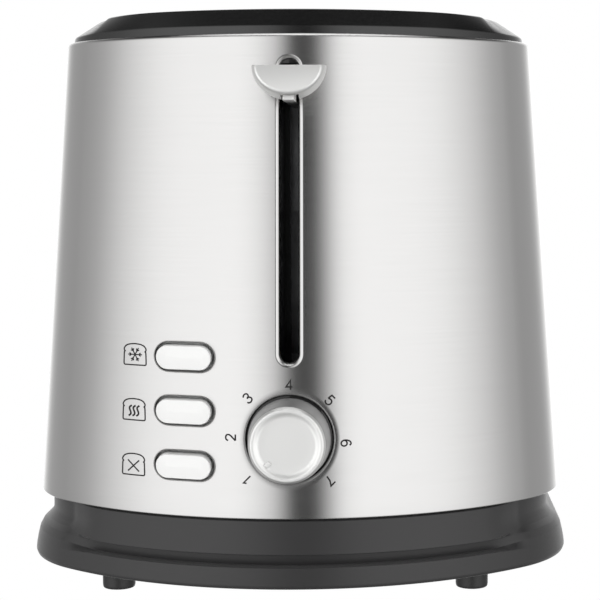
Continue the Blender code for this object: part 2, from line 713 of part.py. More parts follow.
def build_electrics(parent):
    outline = [(-50.0, 38.0), (14.0, 38.0), (14.0, 68.0), (-8.0, 68.0), (-8.0, 92.0), (-50.0, 92.0)]
    board = prism(bmesh.new(), outline, "y", BOARD_FRONT, BOARD_FRONT + 1.6)
    add_object("control_board", "circuit_board", board, parent=parent)

    highest = max(BUTTONS.values())
    lowest = min(BUTTONS.values())
    bank = box(bmesh.new(), (BUTTON_X - 3.0, BUTTON_X + 3.0), (SWITCH_FRONT, BOARD_FRONT - GAP),
               (lowest - 3.0, highest + 3.0))
    add_object("button_switch_bank", "black_plastic", bank, parent=parent)

    timer = box(bmesh.new(), (-11.0, 11.0), (BOARD_FRONT - 10.0, BOARD_FRONT - GAP),
                (DIAL_Z - 11.0, DIAL_Z + 11.0))
    add_object("timer_potentiometer", "black_plastic", timer, parent=parent)

    core = prism(bmesh.new(), [(14.0, 34.0), (30.0, 34.0), (30.0, 50.0), (26.0, 50.0), (26.0, 39.0),
                               (18.0, 39.0), (18.0, 50.0), (14.0, 50.0)], "y", -87.0, -81.0)
    add_object("electromagnet_core", "soft_iron", core, parent=parent)

    coil = []
    for grow, z in ((2.6, 39.3), (2.6, 48.5), (GAP, 48.5), (GAP, 39.3)):
        coil.append([(14.0 - grow, -87.0 - grow, z), (18.0 + grow, -87.0 - grow, z),
                     (18.0 + grow, -81.0 + grow, z), (14.0 - grow, -81.0 + grow, z)])
    add_object("electromagnet_coil", "copper_winding", loft(bmesh.new(), coil, True), parent=parent)

    switch = box(bmesh.new(), (-46.0, -26.0), (-94.0, -78.0), (DECK_TOP + GAP, 46.0))
    add_object("power_switch", "black_plastic", switch, parent=parent)


# ---------------------------------------------------------------- assembly

def build_toaster():
    toaster = add_empty("toaster", (0.0, 0.0, 0.0))
    carriage = add_empty("carriage", (*GUIDE_ROD, LIFTER_Z), toaster)
    tray_slide = add_empty("tray_slide", (0.0, HALF_LENGTH, TRAY_LOW), toaster)
    dial_axis = add_empty("dial_axis", (0.0, front_y(0.0, DIAL_Z), DIAL_Z), toaster)

    build_base_skirt(toaster)
    build_bottom_plate(toaster)
    build_feet(toaster)
    build_screws(toaster)
    build_cord_gland(toaster)
    build_crumb_tray(tray_slide)

    build_steel_wrap(toaster)
    build_top_cover(toaster)
    build_slot_throats(toaster)
    build_control_carrier(toaster)

    build_chassis(toaster)
    build_heaters(toaster)
    build_bread_guides(toaster)

    build_guide_rod(toaster)
    build_carriage(carriage)
    build_lever_knob(carriage)
    build_return_spring(toaster)

    build_dial(dial_axis)
    build_buttons(toaster)
    build_electrics(toaster)


for old in list(bpy.data.objects):
    bpy.data.objects.remove(old, do_unlink=True)
build_toaster()
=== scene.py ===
"""Looks of the pop up toaster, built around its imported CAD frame.

Front is -Y, up is +Z. Lengths below are in millimetres and become metres when a mesh is made.
The shell's outline is described as in the part's source: stations round it, moved inwards by an inset.
"""

import math

import bmesh
import bpy
from mathutils import Matrix, Vector, geometry


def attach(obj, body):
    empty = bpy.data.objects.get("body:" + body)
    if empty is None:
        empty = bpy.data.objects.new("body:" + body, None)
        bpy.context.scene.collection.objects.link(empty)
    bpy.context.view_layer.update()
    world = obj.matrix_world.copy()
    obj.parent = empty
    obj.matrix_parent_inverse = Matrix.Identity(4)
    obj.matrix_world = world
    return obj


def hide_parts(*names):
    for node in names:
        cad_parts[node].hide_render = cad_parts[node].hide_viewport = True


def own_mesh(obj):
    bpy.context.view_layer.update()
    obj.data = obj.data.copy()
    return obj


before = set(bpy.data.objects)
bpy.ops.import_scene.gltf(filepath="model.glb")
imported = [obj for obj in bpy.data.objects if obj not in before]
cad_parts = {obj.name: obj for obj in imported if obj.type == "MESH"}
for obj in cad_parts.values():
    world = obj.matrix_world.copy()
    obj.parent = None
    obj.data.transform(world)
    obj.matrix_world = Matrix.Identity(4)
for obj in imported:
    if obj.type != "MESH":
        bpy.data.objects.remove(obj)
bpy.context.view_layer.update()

MM = 0.001

# Shell, as in the part's source apart from what is said beside a value
SHELL_BOTTOM = 28.5
STEEL_BOTTOM = 28.2            # the rolled edge reaches down to the top of the base
SHELL_TOP = 181.5
HALF_WIDTH = 90.0
HALF_LENGTH = 135.0
END_RADIUS = 107.0
CORNER_RADIUS = 49.0
DRAFT = 10.3
COVER_EDGE = 12.3              # the CAD's cover begins 1 mm further in
COVER_TOP = 190.0

# Controls
SLOT_WIDTH = 5.9               # a little narrower than the CAD's
SLOT_LOW = 77.2
SLOT_HIGH = 173.4
DIAL_Z = 53.3
DIAL_HOLE = 13.65
KNOB_REACH = 12.5              # how far the dial stands out from the shell
BUTTON_X = -33.9
BUTTONS = {"defrost_button": 78.75, "reheat_button": 61.65, "cancel_button": 44.35}
BUTTON_BODIES = {"defrost_button": "defrost", "reheat_button": "reheat", "cancel_button": "cancel"}
BUTTON_HOLE = (19.9, 9.3)
BUTTON_CAP = (18.1, 7.6)
SWITCH_FRONT = -114.3          # where a pressed button's stem stops
BUTTON_TRAVEL = 2.0
GAP = 0.3

# Bread wells
WELL_X = 25.0
WELL_HALF = 16.5
WELL_FRONT = -59.0
WELL_REAR = 83.0
HINGE_Z = 50.0
GUIDE_TOP = 158.0


# ------------------------------------ shell outline

ARC_CENTRE_Y = HALF_LENGTH - END_RADIUS
CORNER_CENTRE_X = HALF_WIDTH - CORNER_RADIUS
TANGENT = math.asin(CORNER_CENTRE_X / (END_RADIUS - CORNER_RADIUS))
CORNER_CENTRE_Y = ARC_CENTRE_Y + (END_RADIUS - CORNER_RADIUS) * math.cos(TANGENT)
ARC_STEPS = 30
CORNER_STEPS = 24


def outline_stations():
    """Stations (centre x, centre y, radius, angle) all round, angle 0 facing -Y, turning to +X."""
    quarter = [(0.0, -ARC_CENTRE_Y, END_RADIUS, TANGENT * step / ARC_STEPS) for step in range(ARC_STEPS)]
    for step in range(CORNER_STEPS + 1):
        angle = TANGENT + (math.pi / 2.0 - TANGENT) * step / CORNER_STEPS
        quarter.append((CORNER_CENTRE_X, -CORNER_CENTRE_Y, CORNER_RADIUS, angle))
    rear = [(x, -y, radius, math.pi - angle) for x, y, radius, angle in reversed(quarter)]
    right = quarter + rear
    left = [(-x, y, radius, 2.0 * math.pi - angle) for x, y, radius, angle in reversed(right)]
    return right + left[1:-1]


STATIONS = outline_stations()


def outward(angle):
    return Vector((math.sin(angle), -math.cos(angle), 0.0))


def station_point(station, inset, z):
    x, y, radius, angle = station
    return Vector((x, y, z)) + (radius - inset) * outward(angle)


def lean(z):
    return DRAFT * (z - SHELL_BOTTOM) / (SHELL_TOP - SHELL_BOTTOM)


def front_y(x, z, inset=0.0):
    radius = END_RADIUS - lean(z) - inset
    return -ARC_CENTRE_Y - math.sqrt(radius * radius - x * x)


def front_normal(x, z):
    radius = END_RADIUS - lean(z)
    along = math.sqrt(radius * radius - x * x)
    rise = DRAFT / (SHELL_TOP - SHELL_BOTTOM)
    return Vector((x / along, -1.0, rise * radius / along)).normalized()


def end_share(angle, front_only, start, span):
    """1 where the outline faces the front or the rear, 0 on the sides, smooth between. In degrees."""
    turn = abs(math.degrees(math.remainder(angle, 2.0 * math.pi)))
    if not front_only:
        turn = min(turn, 180.0 - turn)
    share = min(1.0, max(0.0, (start - turn) / span))
    return share * share * (3.0 - 2.0 * share)


KNOB_FRONT = front_y(0.0, DIAL_Z) - KNOB_REACH


# ------------------------------------ mesh building

class Shape:
    """Points, faces and, where they are known, normals of a mesh in millimetres."""

    def __init__(self):
        self.points = []
        self.normals = []
        self.faces = []

    def add(self, points, normals=None):
        start = len(self.points)
        self.points += [Vector(point) for point in points]
        if normals is not None:
            self.normals += [Vector(normal).normalized() for normal in normals]
        return list(range(start, len(self.points)))

    def skin(self, lower, upper, wrap=True, left_out=()):
        """Faces between two rows, apart from the places left out."""
        count = len(lower)
        for index in range(count if wrap else count - 1):
            if index in left_out:
                continue
            after = (index + 1) % count
            self.faces.append((lower[index], lower[after], upper[after], upper[index]))

    def skin_rows(self, rows, loop=False):
        for lower, upper in zip(rows, rows[1:]):
            self.skin(lower, upper)
        if loop:
            self.skin(rows[-1], rows[0])

    def cap(self, row, flip=False):
        self.faces.append(tuple(reversed(row)) if flip else tuple(row))

    def cap_ends(self, rows):
        self.cap(rows[0], flip=True)
        self.cap(rows[-1])

    def thicken(self, thickness, borders):
        """Add an inner skin behind the normals and close it along the border rows."""
        count = len(self.points)
        outer_faces = list(self.faces)
        inner = [point - normal * thickness for point, normal in zip(self.points, self.normals)]
        self.points += inner
        self.normals += [-normal for normal in self.normals[:count]]
        self.faces += [tuple(index + count for index in reversed(face)) for face in outer_faces]
        for row in borders:
            self.skin([index + count for index in row], row)


def face_outwards(shape):
    """Turn each face to the side that its points' normals are on."""
    for number, face in enumerate(shape.faces):
        ring = [shape.points[index] for index in face]
        across = sum(((a - ring[0]).cross(b - ring[0]) for a, b in zip(ring[1:], ring[2:])), Vector())
        if across.dot(sum((shape.normals[index] for index in face), Vector())) < 0.0:
            shape.faces[number] = tuple(reversed(face))


def new_object(name, data):
    piece = bpy.data.objects.new(name, data)
    bpy.context.scene.collection.objects.link(piece)
    return piece


def turn_faces_out(mesh):
    solid = bmesh.new()
    solid.from_mesh(mesh)
    bmesh.ops.recalc_face_normals(solid, faces=solid.faces)
    solid.to_mesh(mesh)
    solid.free()


def make_piece(name, shape, look, body, replaces=(), crease=None, slot=None):
    """Make an object from a shape. It has its own normals, or creases above an angle.
    Where it replaces CAD nodes, it hides them. The slot argument is not used."""
    if shape.normals:
        face_outwards(shape)
    mesh = bpy.data.meshes.new(name)
    mesh.from_pydata([point * MM for point in shape.points], [], shape.faces)
    mesh.validate()
    if not shape.normals:
        turn_faces_out(mesh)
    mesh.shade_smooth()
    if shape.normals:
        mesh.normals_split_custom_set_from_vertices(shape.normals)
    elif crease is not None:
        mesh.set_sharp_from_angle(angle=math.radians(crease))
    piece = new_object(name, mesh)
    mesh.materials.append(LOOKS[look])
    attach(piece, body)
    if replaces and not slot:
        slot = look
    if replaces:
        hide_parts(*replaces)
    return piece


def bevel(piece, width, segments=3, angle=30.0):
    """Round the edges that are sharper than the angle."""
    modifier = piece.modifiers.new("bevel", "BEVEL")
    modifier.width = width * MM
    modifier.segments = segments
    modifier.limit_method = "ANGLE"
    modifier.angle_limit = math.radians(angle)
    modifier.harden_normals = True


def rounded(corners, steps=5):
    """Round a chain of (a, b, radius) corners. Gives (point, direction) pairs along it."""
    places = [Vector((a, b)) for a, b, _ in corners]
    samples = []
    for index, (_, _, radius) in enumerate(corners):
        here = places[index]
        before = places[max(index - 1, 0)] - here
        after = places[min(index + 1, len(places) - 1)] - here
        if index in (0, len(corners) - 1):
            samples.append((here, (after - before).normalized()))
            continue
        if radius == 0.0:
            samples.append((here, (after.normalized() - before.normalized()).normalized()))
            continue
        reach = min(radius, 0.45 * before.length, 0.45 * after.length)
        start = here + before.normalized() * reach
        end = here + after.normalized() * reach
        for step in range(steps + 1):
            t = step / steps
            point = (1 - t) ** 2 * start + 2 * t * (1 - t) * here + t * t * end
            direction = (1 - t) * (here - start) + t * (end - here)
            samples.append((point, direction.normalized()))
    return samples


def outline_rows(shape, end_profile, side_profile, blend, front_only=False, upwards=True):
    """Surface round the outline from (z, inset, radius) corners for its ends and for its sides."""
    rows = []
    for (end_point, end_way), (side_point, side_way) in zip(rounded(end_profile), rounded(side_profile)):
        points = []
        ways = []
        for station in STATIONS:
            share = end_share(station[3], front_only, *blend)
            z, inset = side_point.lerp(end_point, share)
            rise, inwards = side_way.lerp(end_way, share)
            points.append(station_point(station, inset, z))
            ways.append(Vector((0.0, 0.0, rise)) - inwards * outward(station[3]))
        normals = []
        for index, way in enumerate(ways):
            along = points[(index + 1) % len(points)] - points[index - 1]
            normals.append(along.cross(way) if upwards else way.cross(along))
        rows.append(shape.add(points, normals))
    return rows


def turned(shape, profile, place, sides, steps=4, sense=1.0):
    """Turn rounded (radius, along, rounding) corners. place(radius, angle, along) gives a point.
    sense is 1 where the outside of the profile is on the right of its run, and -1 on the left."""
    rows = []
    for (radius, along), (d_radius, d_along) in rounded(profile, steps):
        points, normals = [], []
        for index in range(sides):
            angle = 2.0 * math.pi * index / sides
            points.append(place(radius, angle, along))
            normals.append(sense * (place(d_along, angle, -d_radius) - place(0.0, 0.0, 0.0)))
        rows.append(shape.add(points, normals))
    shape.skin_rows(rows)
    return rows


def catmull(points, steps=6):
    """Smooth curve through flat points."""
    last = len(points) - 1
    path = []
    for index in range(last):
        before, start, end, after = (points[min(max(index + k, 0), last)] for k in (-1, 0, 1, 2))
        for step in range(steps):
            t = step / steps
            path.append(tuple(
                0.5 * (2 * b + (c - a) * t + (2 * a - 5 * b + 4 * c - d) * t * t
                       + (3 * b - a - 3 * c + d) * t ** 3)
                for a, b, c, d in zip(before, start, end, after)))
    path.append(tuple(points[-1]))
    return path


def tube(shape, path, radius, sides):
    """Round wire along a path, with rounded ends."""
    path = [Vector(point) for point in path]
    last = len(path) - 1
    rows = []
    side = None
    for index, point in enumerate(path):
        ahead = path[min(index + 1, last)] - path[max(index - 1, 0)]
        ahead.normalize()
        if side is None:
            side = ahead.orthogonal().normalized()
        side = (side - side.dot(ahead) * ahead).normalized()
        rise = ahead.cross(side)
        rings = [(0.0, radius)]
        if index in (0, last):
            outwards = -1.0 if index == 0 else 1.0
            ends = [(outwards * radius * 0.9, radius * 0.35), (outwards * radius * 0.55, radius * 0.8)]
            rings = ends + rings if index == 0 else rings + list(reversed(ends))
        for shift, width in rings:
            turns = [2.0 * math.pi * step / sides for step in range(sides)]
            rows.append(shape.add([point + ahead * shift + width * (math.cos(t) * side + math.sin(t) * rise)
                                   for t in turns]))
    shape.skin_rows(rows)
    shape.cap_ends(rows)


# ------------------------------------ materials

def add_node(tree, kind, **values):
    node = tree.nodes.new("ShaderNode" + kind)
    set_inputs(node, **values)
    return node


def set_inputs(node, **values):
    """Set a node's inputs. An underscore stands for a space in an input's name."""
    for name, value in values.items():
        node.inputs[name.replace("_", " ")].default_value = value


def ramp_between(tree, value, dark, light):
    mix = tree.nodes.new("ShaderNodeMix")
    mix.data_type = "RGBA"
    mix.inputs["A"].default_value = (*dark, 1.0)
    mix.inputs["B"].default_value = (*light, 1.0)
    tree.links.new(value, mix.inputs["Factor"])
    return mix.outputs["Result"]


LOOKS = {}


def new_look(name, colour, roughness, metallic=0.0, spread=0.05, patches=60.0, rough_span=0.04,
             grain=900.0, bump=0.1, bump_mm=0.05, stretch=(1.0, 1.0, 1.0), anisotropy=0.0,
             specular=0.5, sheen=0.0):
    """Material whose colour, roughness and fine grain all vary. stretch scales the grain's axes."""
    look = bpy.data.materials.new(name)
    look.use_nodes = True
    tree = look.node_tree
    shader = tree.nodes["Principled BSDF"]
    set_inputs(shader, Metallic=metallic, Specular_IOR_Level=specular, Sheen_Weight=sheen)
    place = add_node(tree, "TexCoord")

    def noise(scale, detail, stretched):
        source = place.outputs["Object"]
        if stretched:
            mapping = add_node(tree, "Mapping", Scale=stretch)
            tree.links.new(source, mapping.inputs["Vector"])
            source = mapping.outputs["Vector"]
        texture = add_node(tree, "TexNoise", Scale=scale, Detail=detail)
        tree.links.new(source, texture.inputs["Vector"])
        return texture.outputs["Fac"]

    blotches = noise(patches, 3.0, False)
    dark = tuple(channel * (1.0 - spread) for channel in colour)
    light = tuple(min(1.0, channel * (1.0 + spread)) for channel in colour)
    tree.links.new(ramp_between(tree, blotches, dark, light), shader.inputs["Base Color"])

    fine = noise(grain, 4.0, True)
    spans = add_node(tree, "MapRange", From_Min=0.3, From_Max=0.7,
                     To_Min=roughness - rough_span, To_Max=roughness + rough_span)
    tree.links.new(fine, spans.inputs["Value"])
    tree.links.new(spans.outputs["Result"], shader.inputs["Roughness"])

    relief = add_node(tree, "Bump", Strength=bump, Distance=bump_mm * MM)
    tree.links.new(fine, relief.inputs["Height"])
    tree.links.new(relief.outputs["Normal"], shader.inputs["Normal"])

    if anisotropy:
        tangent = add_node(tree, "Tangent")
        tangent.direction_type = "RADIAL"
        tangent.axis = "Z"
        tree.links.new(tangent.outputs["Tangent"], shader.inputs["Tangent"])
        set_inputs(shader, Anisotropic=anisotropy, Anisotropic_Rotation=0.25)
    LOOKS[name] = look


new_look("brushed_steel", (0.52, 0.516, 0.512), 0.23, 1.0, spread=0.012, patches=25.0, rough_span=0.02,
         grain=110.0, bump=0.05, bump_mm=0.01, stretch=(0.35, 0.35, 40.0), anisotropy=0.90)
new_look("black_plastic", (0.004, 0.004, 0.004), 0.22, spread=0.10, grain=1800.0,
         bump=0.06, bump_mm=0.02, specular=0.62)
new_look("grey_plastic", (0.019, 0.0185, 0.019), 0.36, spread=0.08, grain=1800.0,
         bump=0.08, bump_mm=0.02, specular=0.42, sheen=0.12)
new_look("foot_rubber", (0.007, 0.007, 0.007), 0.45, spread=0.15, grain=1500.0, bump=0.2)
new_look("silver_plastic", (0.76, 0.76, 0.75), 0.47, 0.9, spread=0.008, grain=5000.0,
         rough_span=0.02, bump=0.02, bump_mm=0.01)
# Darker copy of the knob silver, used on the dial knob's side as painted shade
new_look("painted_shade_silver", (0.40, 0.40, 0.40), 0.45, 0.8, spread=0.01, grain=5000.0,
         rough_span=0.02, bump=0.02, bump_mm=0.01)
new_look("white_plastic", (0.90, 0.90, 0.89), 0.35, spread=0.012, grain=2000.0, bump=0.05, bump_mm=0.02)
new_look("galvanised_sheet", (0.50, 0.51, 0.52), 0.38, 1.0, spread=0.16,
         patches=220.0, rough_span=0.08, grain=300.0, bump=0.12)
new_look("reflector_sheet", (0.78, 0.78, 0.78), 0.22, 1.0, spread=0.03, grain=150.0,
         bump=0.10, stretch=(1.0, 1.0, 12.0))
new_look("mica", (0.52, 0.45, 0.33), 0.45, spread=0.25, patches=160.0, grain=700.0, bump=0.3)
new_look("nichrome", (0.36, 0.32, 0.30), 0.42, 1.0, spread=0.2, patches=400.0, grain=1200.0)
new_look("chromed_wire", (0.74, 0.74, 0.75), 0.14, 1.0, spread=0.04, grain=900.0, bump=0.05)
new_look("circuit_board", (0.26, 0.19, 0.08), 0.50, spread=0.15, patches=300.0,
         grain=1500.0, bump=0.2)
new_look("soft_iron", (0.26, 0.26, 0.27), 0.48, 1.0, spread=0.2, patches=300.0)
new_look("copper_winding", (0.58, 0.25, 0.12), 0.32, 1.0, spread=0.1, grain=350.0,
         bump=0.6, bump_mm=0.3, stretch=(0.05, 0.05, 6.0))
new_look("steel_fastener", (0.60, 0.60, 0.61), 0.28, 1.0, spread=0.06, grain=900.0)
new_look("print_ink", (0.025, 0.024, 0.024), 0.60, spread=0.06, grain=2500.0, specular=0.15)

NODE_SLOTS = {
    "galvanised_sheet": ("bottom_plate", "crumb_tray", "chassis_front_plate", "chassis_rear_plate",
                         "guide_rod_bracket", "carriage_plate", "bread_lifter_left", "bread_lifter_right"),
    "black_plastic": ("control_carrier", "guide_rod_foot", "button_switch_bank", "timer_potentiometer",
                      "power_switch"),
    "reflector_sheet": ("slot_throat_left", "slot_throat_right", "side_reflector_left",
                        "side_reflector_right"),
    "mica": ("heater_board_left", "heater_board_centre", "heater_board_right"),
    "nichrome": ("heater_winding_left", "heater_winding_centre", "heater_winding_right"),
    "circuit_board": ("control_board",),
    "soft_iron": ("latch_armature", "electromagnet_core"),
    "copper_winding": ("electromagnet_coil",),
    "white_plastic": ("carriage_bush",),
    "steel_fastener": ("guide_rod", "dial_shaft"),
}
NODE_SLOTS["steel_fastener"] += tuple(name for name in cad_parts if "screw" in name)
for slot_name, node_names in NODE_SLOTS.items():
    for node_name in node_names:
        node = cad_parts[node_name]
        node.data.materials.clear()
        node.data.materials.append(LOOKS[slot_name])


# ------------------------------------ steel wrap

FLANGE = 0.5
STEEL = 0.5
# The part of the front that holds the holes, in stations and in height
WINDOW_LEFT = -22
WINDOW_RIGHT = 8
WINDOW_LOW = 34.0
WINDOW_HIGH = 177.6
FLAT_RADIUS = 100.0
LONG_SIDE = 20.0               # a slot with a half side longer than this gets points along its sides
SIDE_SPANS = 14


def lip_profile(lip):
    """(distance outside the hole, depth, slope) from the plain sheet to the bottom of the flange."""
    dish_width, dish_slope, roll_radius = lip
    dish_depth = math.tan(dish_slope) * dish_width / 2.0
    samples = []
    if dish_width > 0.0:
        for step in range(6):
            share = step / 6.0
            slope = math.atan(2.0 * dish_depth * share / dish_width)
            samples.append((roll_radius + (1.0 - share) * dish_width, dish_depth * share * share, slope))
    bend = roll_radius / (1.0 - math.sin(dish_slope))
    top = dish_depth + bend * math.cos(dish_slope)
    for step in range(11):
        slope = dish_slope + (math.pi / 2.0 - dish_slope) * step / 10.0
        samples.append((bend * (1.0 - math.sin(slope)), top - bend * math.cos(slope), slope))
    samples.append((0.0, top + FLANGE, math.pi / 2.0))
    return samples


def obround(centre, width, height, grow, steps):
    """(point, direction away from the middle) pairs round a slot with round ends, grown outwards."""
    radius = min(width, height) / 2.0
    reach_x = width / 2.0 - radius
    reach_z = height / 2.0 - radius
    pairs = []
    # The two halves of a plain circle share their end points
    arc_points = steps if reach_x == reach_z else steps + 1
    for half, side in enumerate((1.0, -1.0)):
        for step in range(arc_points):
            turn = math.pi * (half + step / steps)
            if reach_x > reach_z:
                turn -= math.pi / 2.0
            away = (math.cos(turn), math.sin(turn))
            pairs.append(((centre[0] + side * reach_x + (radius + grow) * away[0],
                           centre[1] + side * reach_z + (radius + grow) * away[1]), away))
        if reach_z > LONG_SIDE:
            last = pairs[-1]
            for span in range(1, SIDE_SPANS):
                fall = side * -2.0 * reach_z * span / SIDE_SPANS
                pairs.append(((last[0][0], last[0][1] + fall), last[1]))
    return pairs


# Each hole's outline, and its lip's dish width, dish slope and roll radius
PLAIN_DISH = (0.0, 0.0)
HOLES = [(((0.0, (SLOT_LOW + SLOT_HIGH) / 2.0), SLOT_WIDTH, SLOT_HIGH - SLOT_LOW, 16), (*PLAIN_DISH, 1.55)),
         (((0.0, DIAL_Z), 2.0 * DIAL_HOLE, 2.0 * DIAL_HOLE, 36), (1.6, math.radians(6.5), 0.9))]
HOLES += [(((BUTTON_X, z), *BUTTON_HOLE, 16), (*PLAIN_DISH, 0.55)) for z in BUTTONS.values()]


def window_rim(rows, start, end, left, right):
    """Points round a window that reaches from row start to row end, and from place left to right."""
    rim = [rows[start][index] for index in range(left, right)]
    rim += [rows[number][right] for number in range(start, end)]
    rim += [rows[end][index] for index in range(right, left, -1)]
    rim += [rows[number][left] for number in range(end, start, -1)]
    return rim


def add_loop(fill, ring, spots):
    """Add a closed row of points, and the flat spots where they lie, to a flat fill."""
    flat, owner, edges = fill
    first = len(flat)
    flat += spots
    owner += ring
    edges += [(first + k, first + (k + 1) % len(ring)) for k in range(len(ring))]


def fill_flat(shape, fill, keep):
    """Join a fill's points with triangles, wherever keep agrees with a triangle's middle."""
    flat, owner, edges = fill
    _, _, triangles, originals, _, _ = geometry.delaunay_2d_cdt(flat, edges, [], 1, 1e-5)
    for triangle in triangles:
        chosen = [owner[originals[corner][0]] for corner in triangle]
        middle = sum((shape.points[corner] for corner in chosen), Vector()) / len(chosen)
        if keep(middle):
            shape.faces.append(tuple(chosen))


def hole_distance(hole, x, z):
    (centre_x, centre_z), width, height, _ = hole
    radius = min(width, height) / 2.0
    over_x = max(abs(x - centre_x) - (width / 2.0 - radius), 0.0)
    over_z = max(abs(z - centre_z) - (height / 2.0 - radius), 0.0)
    return math.hypot(over_x, over_z) - radius


def lip_reach(lip):
    dish_width, _, roll_radius = lip
    return dish_width + roll_radius


def flat_place(x, z):
    return Vector((FLAT_RADIUS * math.asin(x / (END_RADIUS - lean(z))), z))


def build_steel_wrap():
    """Steel sheet round the shell with a roll at its bottom and top. Its front is filled in apart."""
    shape = Shape()
    bottom_roll, top_roll = 0.45, 1.3
    roll_steps = 6
    low, high = STEEL_BOTTOM + bottom_roll, SHELL_TOP - top_roll
    profile = []
    for step in range(roll_steps + 1):
        turn = math.pi / 2.0 * (1.0 - step / roll_steps)
        profile.append((low - bottom_roll * math.sin(turn),
                        lean(low) + bottom_roll * (1.0 - math.cos(turn)), math.cos(turn), -math.sin(turn)))
    rises = 18
    slope = DRAFT / (SHELL_TOP - SHELL_BOTTOM)
    for step in range(rises + 1):
        z = WINDOW_LOW + (WINDOW_HIGH - WINDOW_LOW) * step / rises
        profile.append((z, lean(z), 1.0, slope))
    for step in range(8):
        turn = math.pi / 2.0 * step / 7.0
        profile.append((high + top_roll * math.sin(turn), lean(high) + top_roll * (1.0 - math.cos(turn)),
                        math.cos(turn), math.sin(turn) + slope * math.cos(turn)))
    profile.append((SHELL_TOP, COVER_EDGE - GAP, 0.0, 1.0))
    rows = []
    for z, inset, rise, inwards in profile:
        points = [station_point(station, inset, z) for station in STATIONS]
        normals = [rise * outward(station[3]) + Vector((0.0, 0.0, inwards)) for station in STATIONS]
        rows.append(shape.add(points, normals))
    low_row, high_row = roll_steps + 1, roll_steps + 1 + rises
    window = {index % len(STATIONS) for index in range(WINDOW_LEFT, WINDOW_RIGHT)}
    for number, (lower, upper) in enumerate(zip(rows, rows[1:])):
        shape.skin(lower, upper, left_out=window if low_row <= number < high_row else ())
    borders = [list(reversed(rows[0])), rows[-1]]
    borders += fill_window(shape, window_rim(rows, low_row, high_row, WINDOW_LEFT, WINDOW_RIGHT))
    shape.thicken(STEEL, borders)
    make_piece("steel_wrap_rolled", shape, "brushed_steel", "housing", ("steel_wrap",))


def fill_window(shape, rim):
    """Front sheet inside the rim, with a dished and rolled lip round each hole."""
    flat, owner = [], []
    fill = (flat, owner, [])
    add_loop(fill, rim, [flat_place(shape.points[index].x, shape.points[index].z) for index in rim])
    borders = []
    for (centre, width, height, steps), lip in HOLES:
        lip_rows = []
        for distance, depth, slope in lip_profile(lip):
            points, normals = [], []
            for (x, z), away in obround(centre, width, height, distance, steps):
                points.append((x, front_y(x, z) + depth, z))
                towards = Vector((-away[0], 0.0, -away[1]))
                normals.append(math.cos(slope) * front_normal(x, z) + math.sin(slope) * towards)
            lip_rows.append(shape.add(points, normals))
        shape.skin_rows(lip_rows)
        borders.append(lip_rows[-1])
        spots = [flat_place(shape.points[index].x, shape.points[index].z) for index in lip_rows[0]]
        add_loop(fill, lip_rows[0], spots)
    step_angle = TANGENT / ARC_STEPS
    rises = 34
    for index in range(WINDOW_LEFT + 1, WINDOW_RIGHT):
        for rise in range(1, rises):
            z = WINDOW_LOW + (WINDOW_HIGH - WINDOW_LOW) * rise / rises
            x = (END_RADIUS - lean(z)) * math.sin(step_angle * index)
            if any(hole_distance(hole, x, z) < lip_reach(lip) + 1.0 for hole, lip in HOLES):
                continue
            flat.append(flat_place(x, z))
            owner += shape.add([(x, front_y(x, z), z)], [front_normal(x, z)])
    fill_flat(shape, fill, lambda middle: all(
        hole_distance(hole, middle.x, middle.z) > lip_reach(lip) - 0.05 for hole, lip in HOLES))
    return borders


build_steel_wrap()


# ------------------------------------ top cover

def rounded_rectangle(centre, half_x, half_y, radius, grow, steps=6):
    """(point, direction away from the middle) pairs round a rectangle, grown outwards."""
    points = []
    for turn, sign_x, sign_y in ((0, 1, 1), (1, -1, 1), (2, -1, -1), (3, 1, -1)):
        for step in range(steps + 1):
            angle = math.pi / 2.0 * (turn + step / steps)
            away = (math.cos(angle), math.sin(angle))
            points.append(((centre[0] + sign_x * (half_x - radius) + (radius + grow) * away[0],
                            centre[1] + sign_y * (half_y - radius) + (radius + grow) * away[1]), away))
    return points


def build_top_cover():
    """Cover with two bread slots, from (z, inset, rounding) profiles for its ends and its sides."""
    edge = COVER_EDGE
    end = [(176.0, edge, 0), (181.2, edge, 0.3), (184.1, edge + 0.5, 0.3), (189.5, edge + 2.9, 0.3),
           (COVER_TOP, edge + 12.0, 1.0), (COVER_TOP, edge + 16.0, 0)]
    side = [(176.0, edge, 0), (181.2, edge, 0.6), (183.4, edge + 0.3, 0.6), (189.4, edge + 9.4, 1.8),
            (COVER_TOP, edge + 13.2, 1.2), (COVER_TOP, edge + 15.0, 0)]
    shape = Shape()
    rows = outline_rows(shape, end, side, (60.0, 32.0))
    shape.skin_rows(rows)
    fill = ([], [], [])
    add_loop(fill, rows[-1], [shape.points[index].xy for index in rows[-1]])
    borders = [list(reversed(rows[0]))]
    lip = 1.5
    half_y = (WELL_REAR - WELL_FRONT) / 2.0
    centre_y = (WELL_REAR + WELL_FRONT) / 2.0
    slots = [(sign * WELL_X, centre_y) for sign in (-1.0, 1.0)]
    for centre in slots:
        lip_rows = []
        for step in range(9):
            slope = math.pi / 2.0 * min(step, 7) / 7.0
            distance = lip * (1.0 - math.sin(slope))
            depth = lip * (1.0 - math.cos(slope)) + (1.0 if step == 8 else 0.0)
            points, normals = [], []
            for (x, y), away in rounded_rectangle(centre, WELL_HALF, half_y, 3.5, distance):
                points.append((x, y, COVER_TOP - depth))
                normals.append((-away[0] * math.sin(slope), -away[1] * math.sin(slope), math.cos(slope)))
            lip_rows.append(shape.add(points, normals))
        shape.skin_rows(lip_rows)
        borders.append(lip_rows[-1])
        add_loop(fill, lip_rows[0], [shape.points[index].xy for index in lip_rows[0]])
    fill_flat(shape, fill, lambda middle: not any(
        abs(middle.x - x) < WELL_HALF + lip and abs(middle.y - y) < half_y + lip for x, y in slots))
    shape.thicken(2.0, borders)
    make_piece("top_cover_moulded", shape, "black_plastic", "housing", ("top_cover",))


build_top_cover()


# ------------------------------------ base

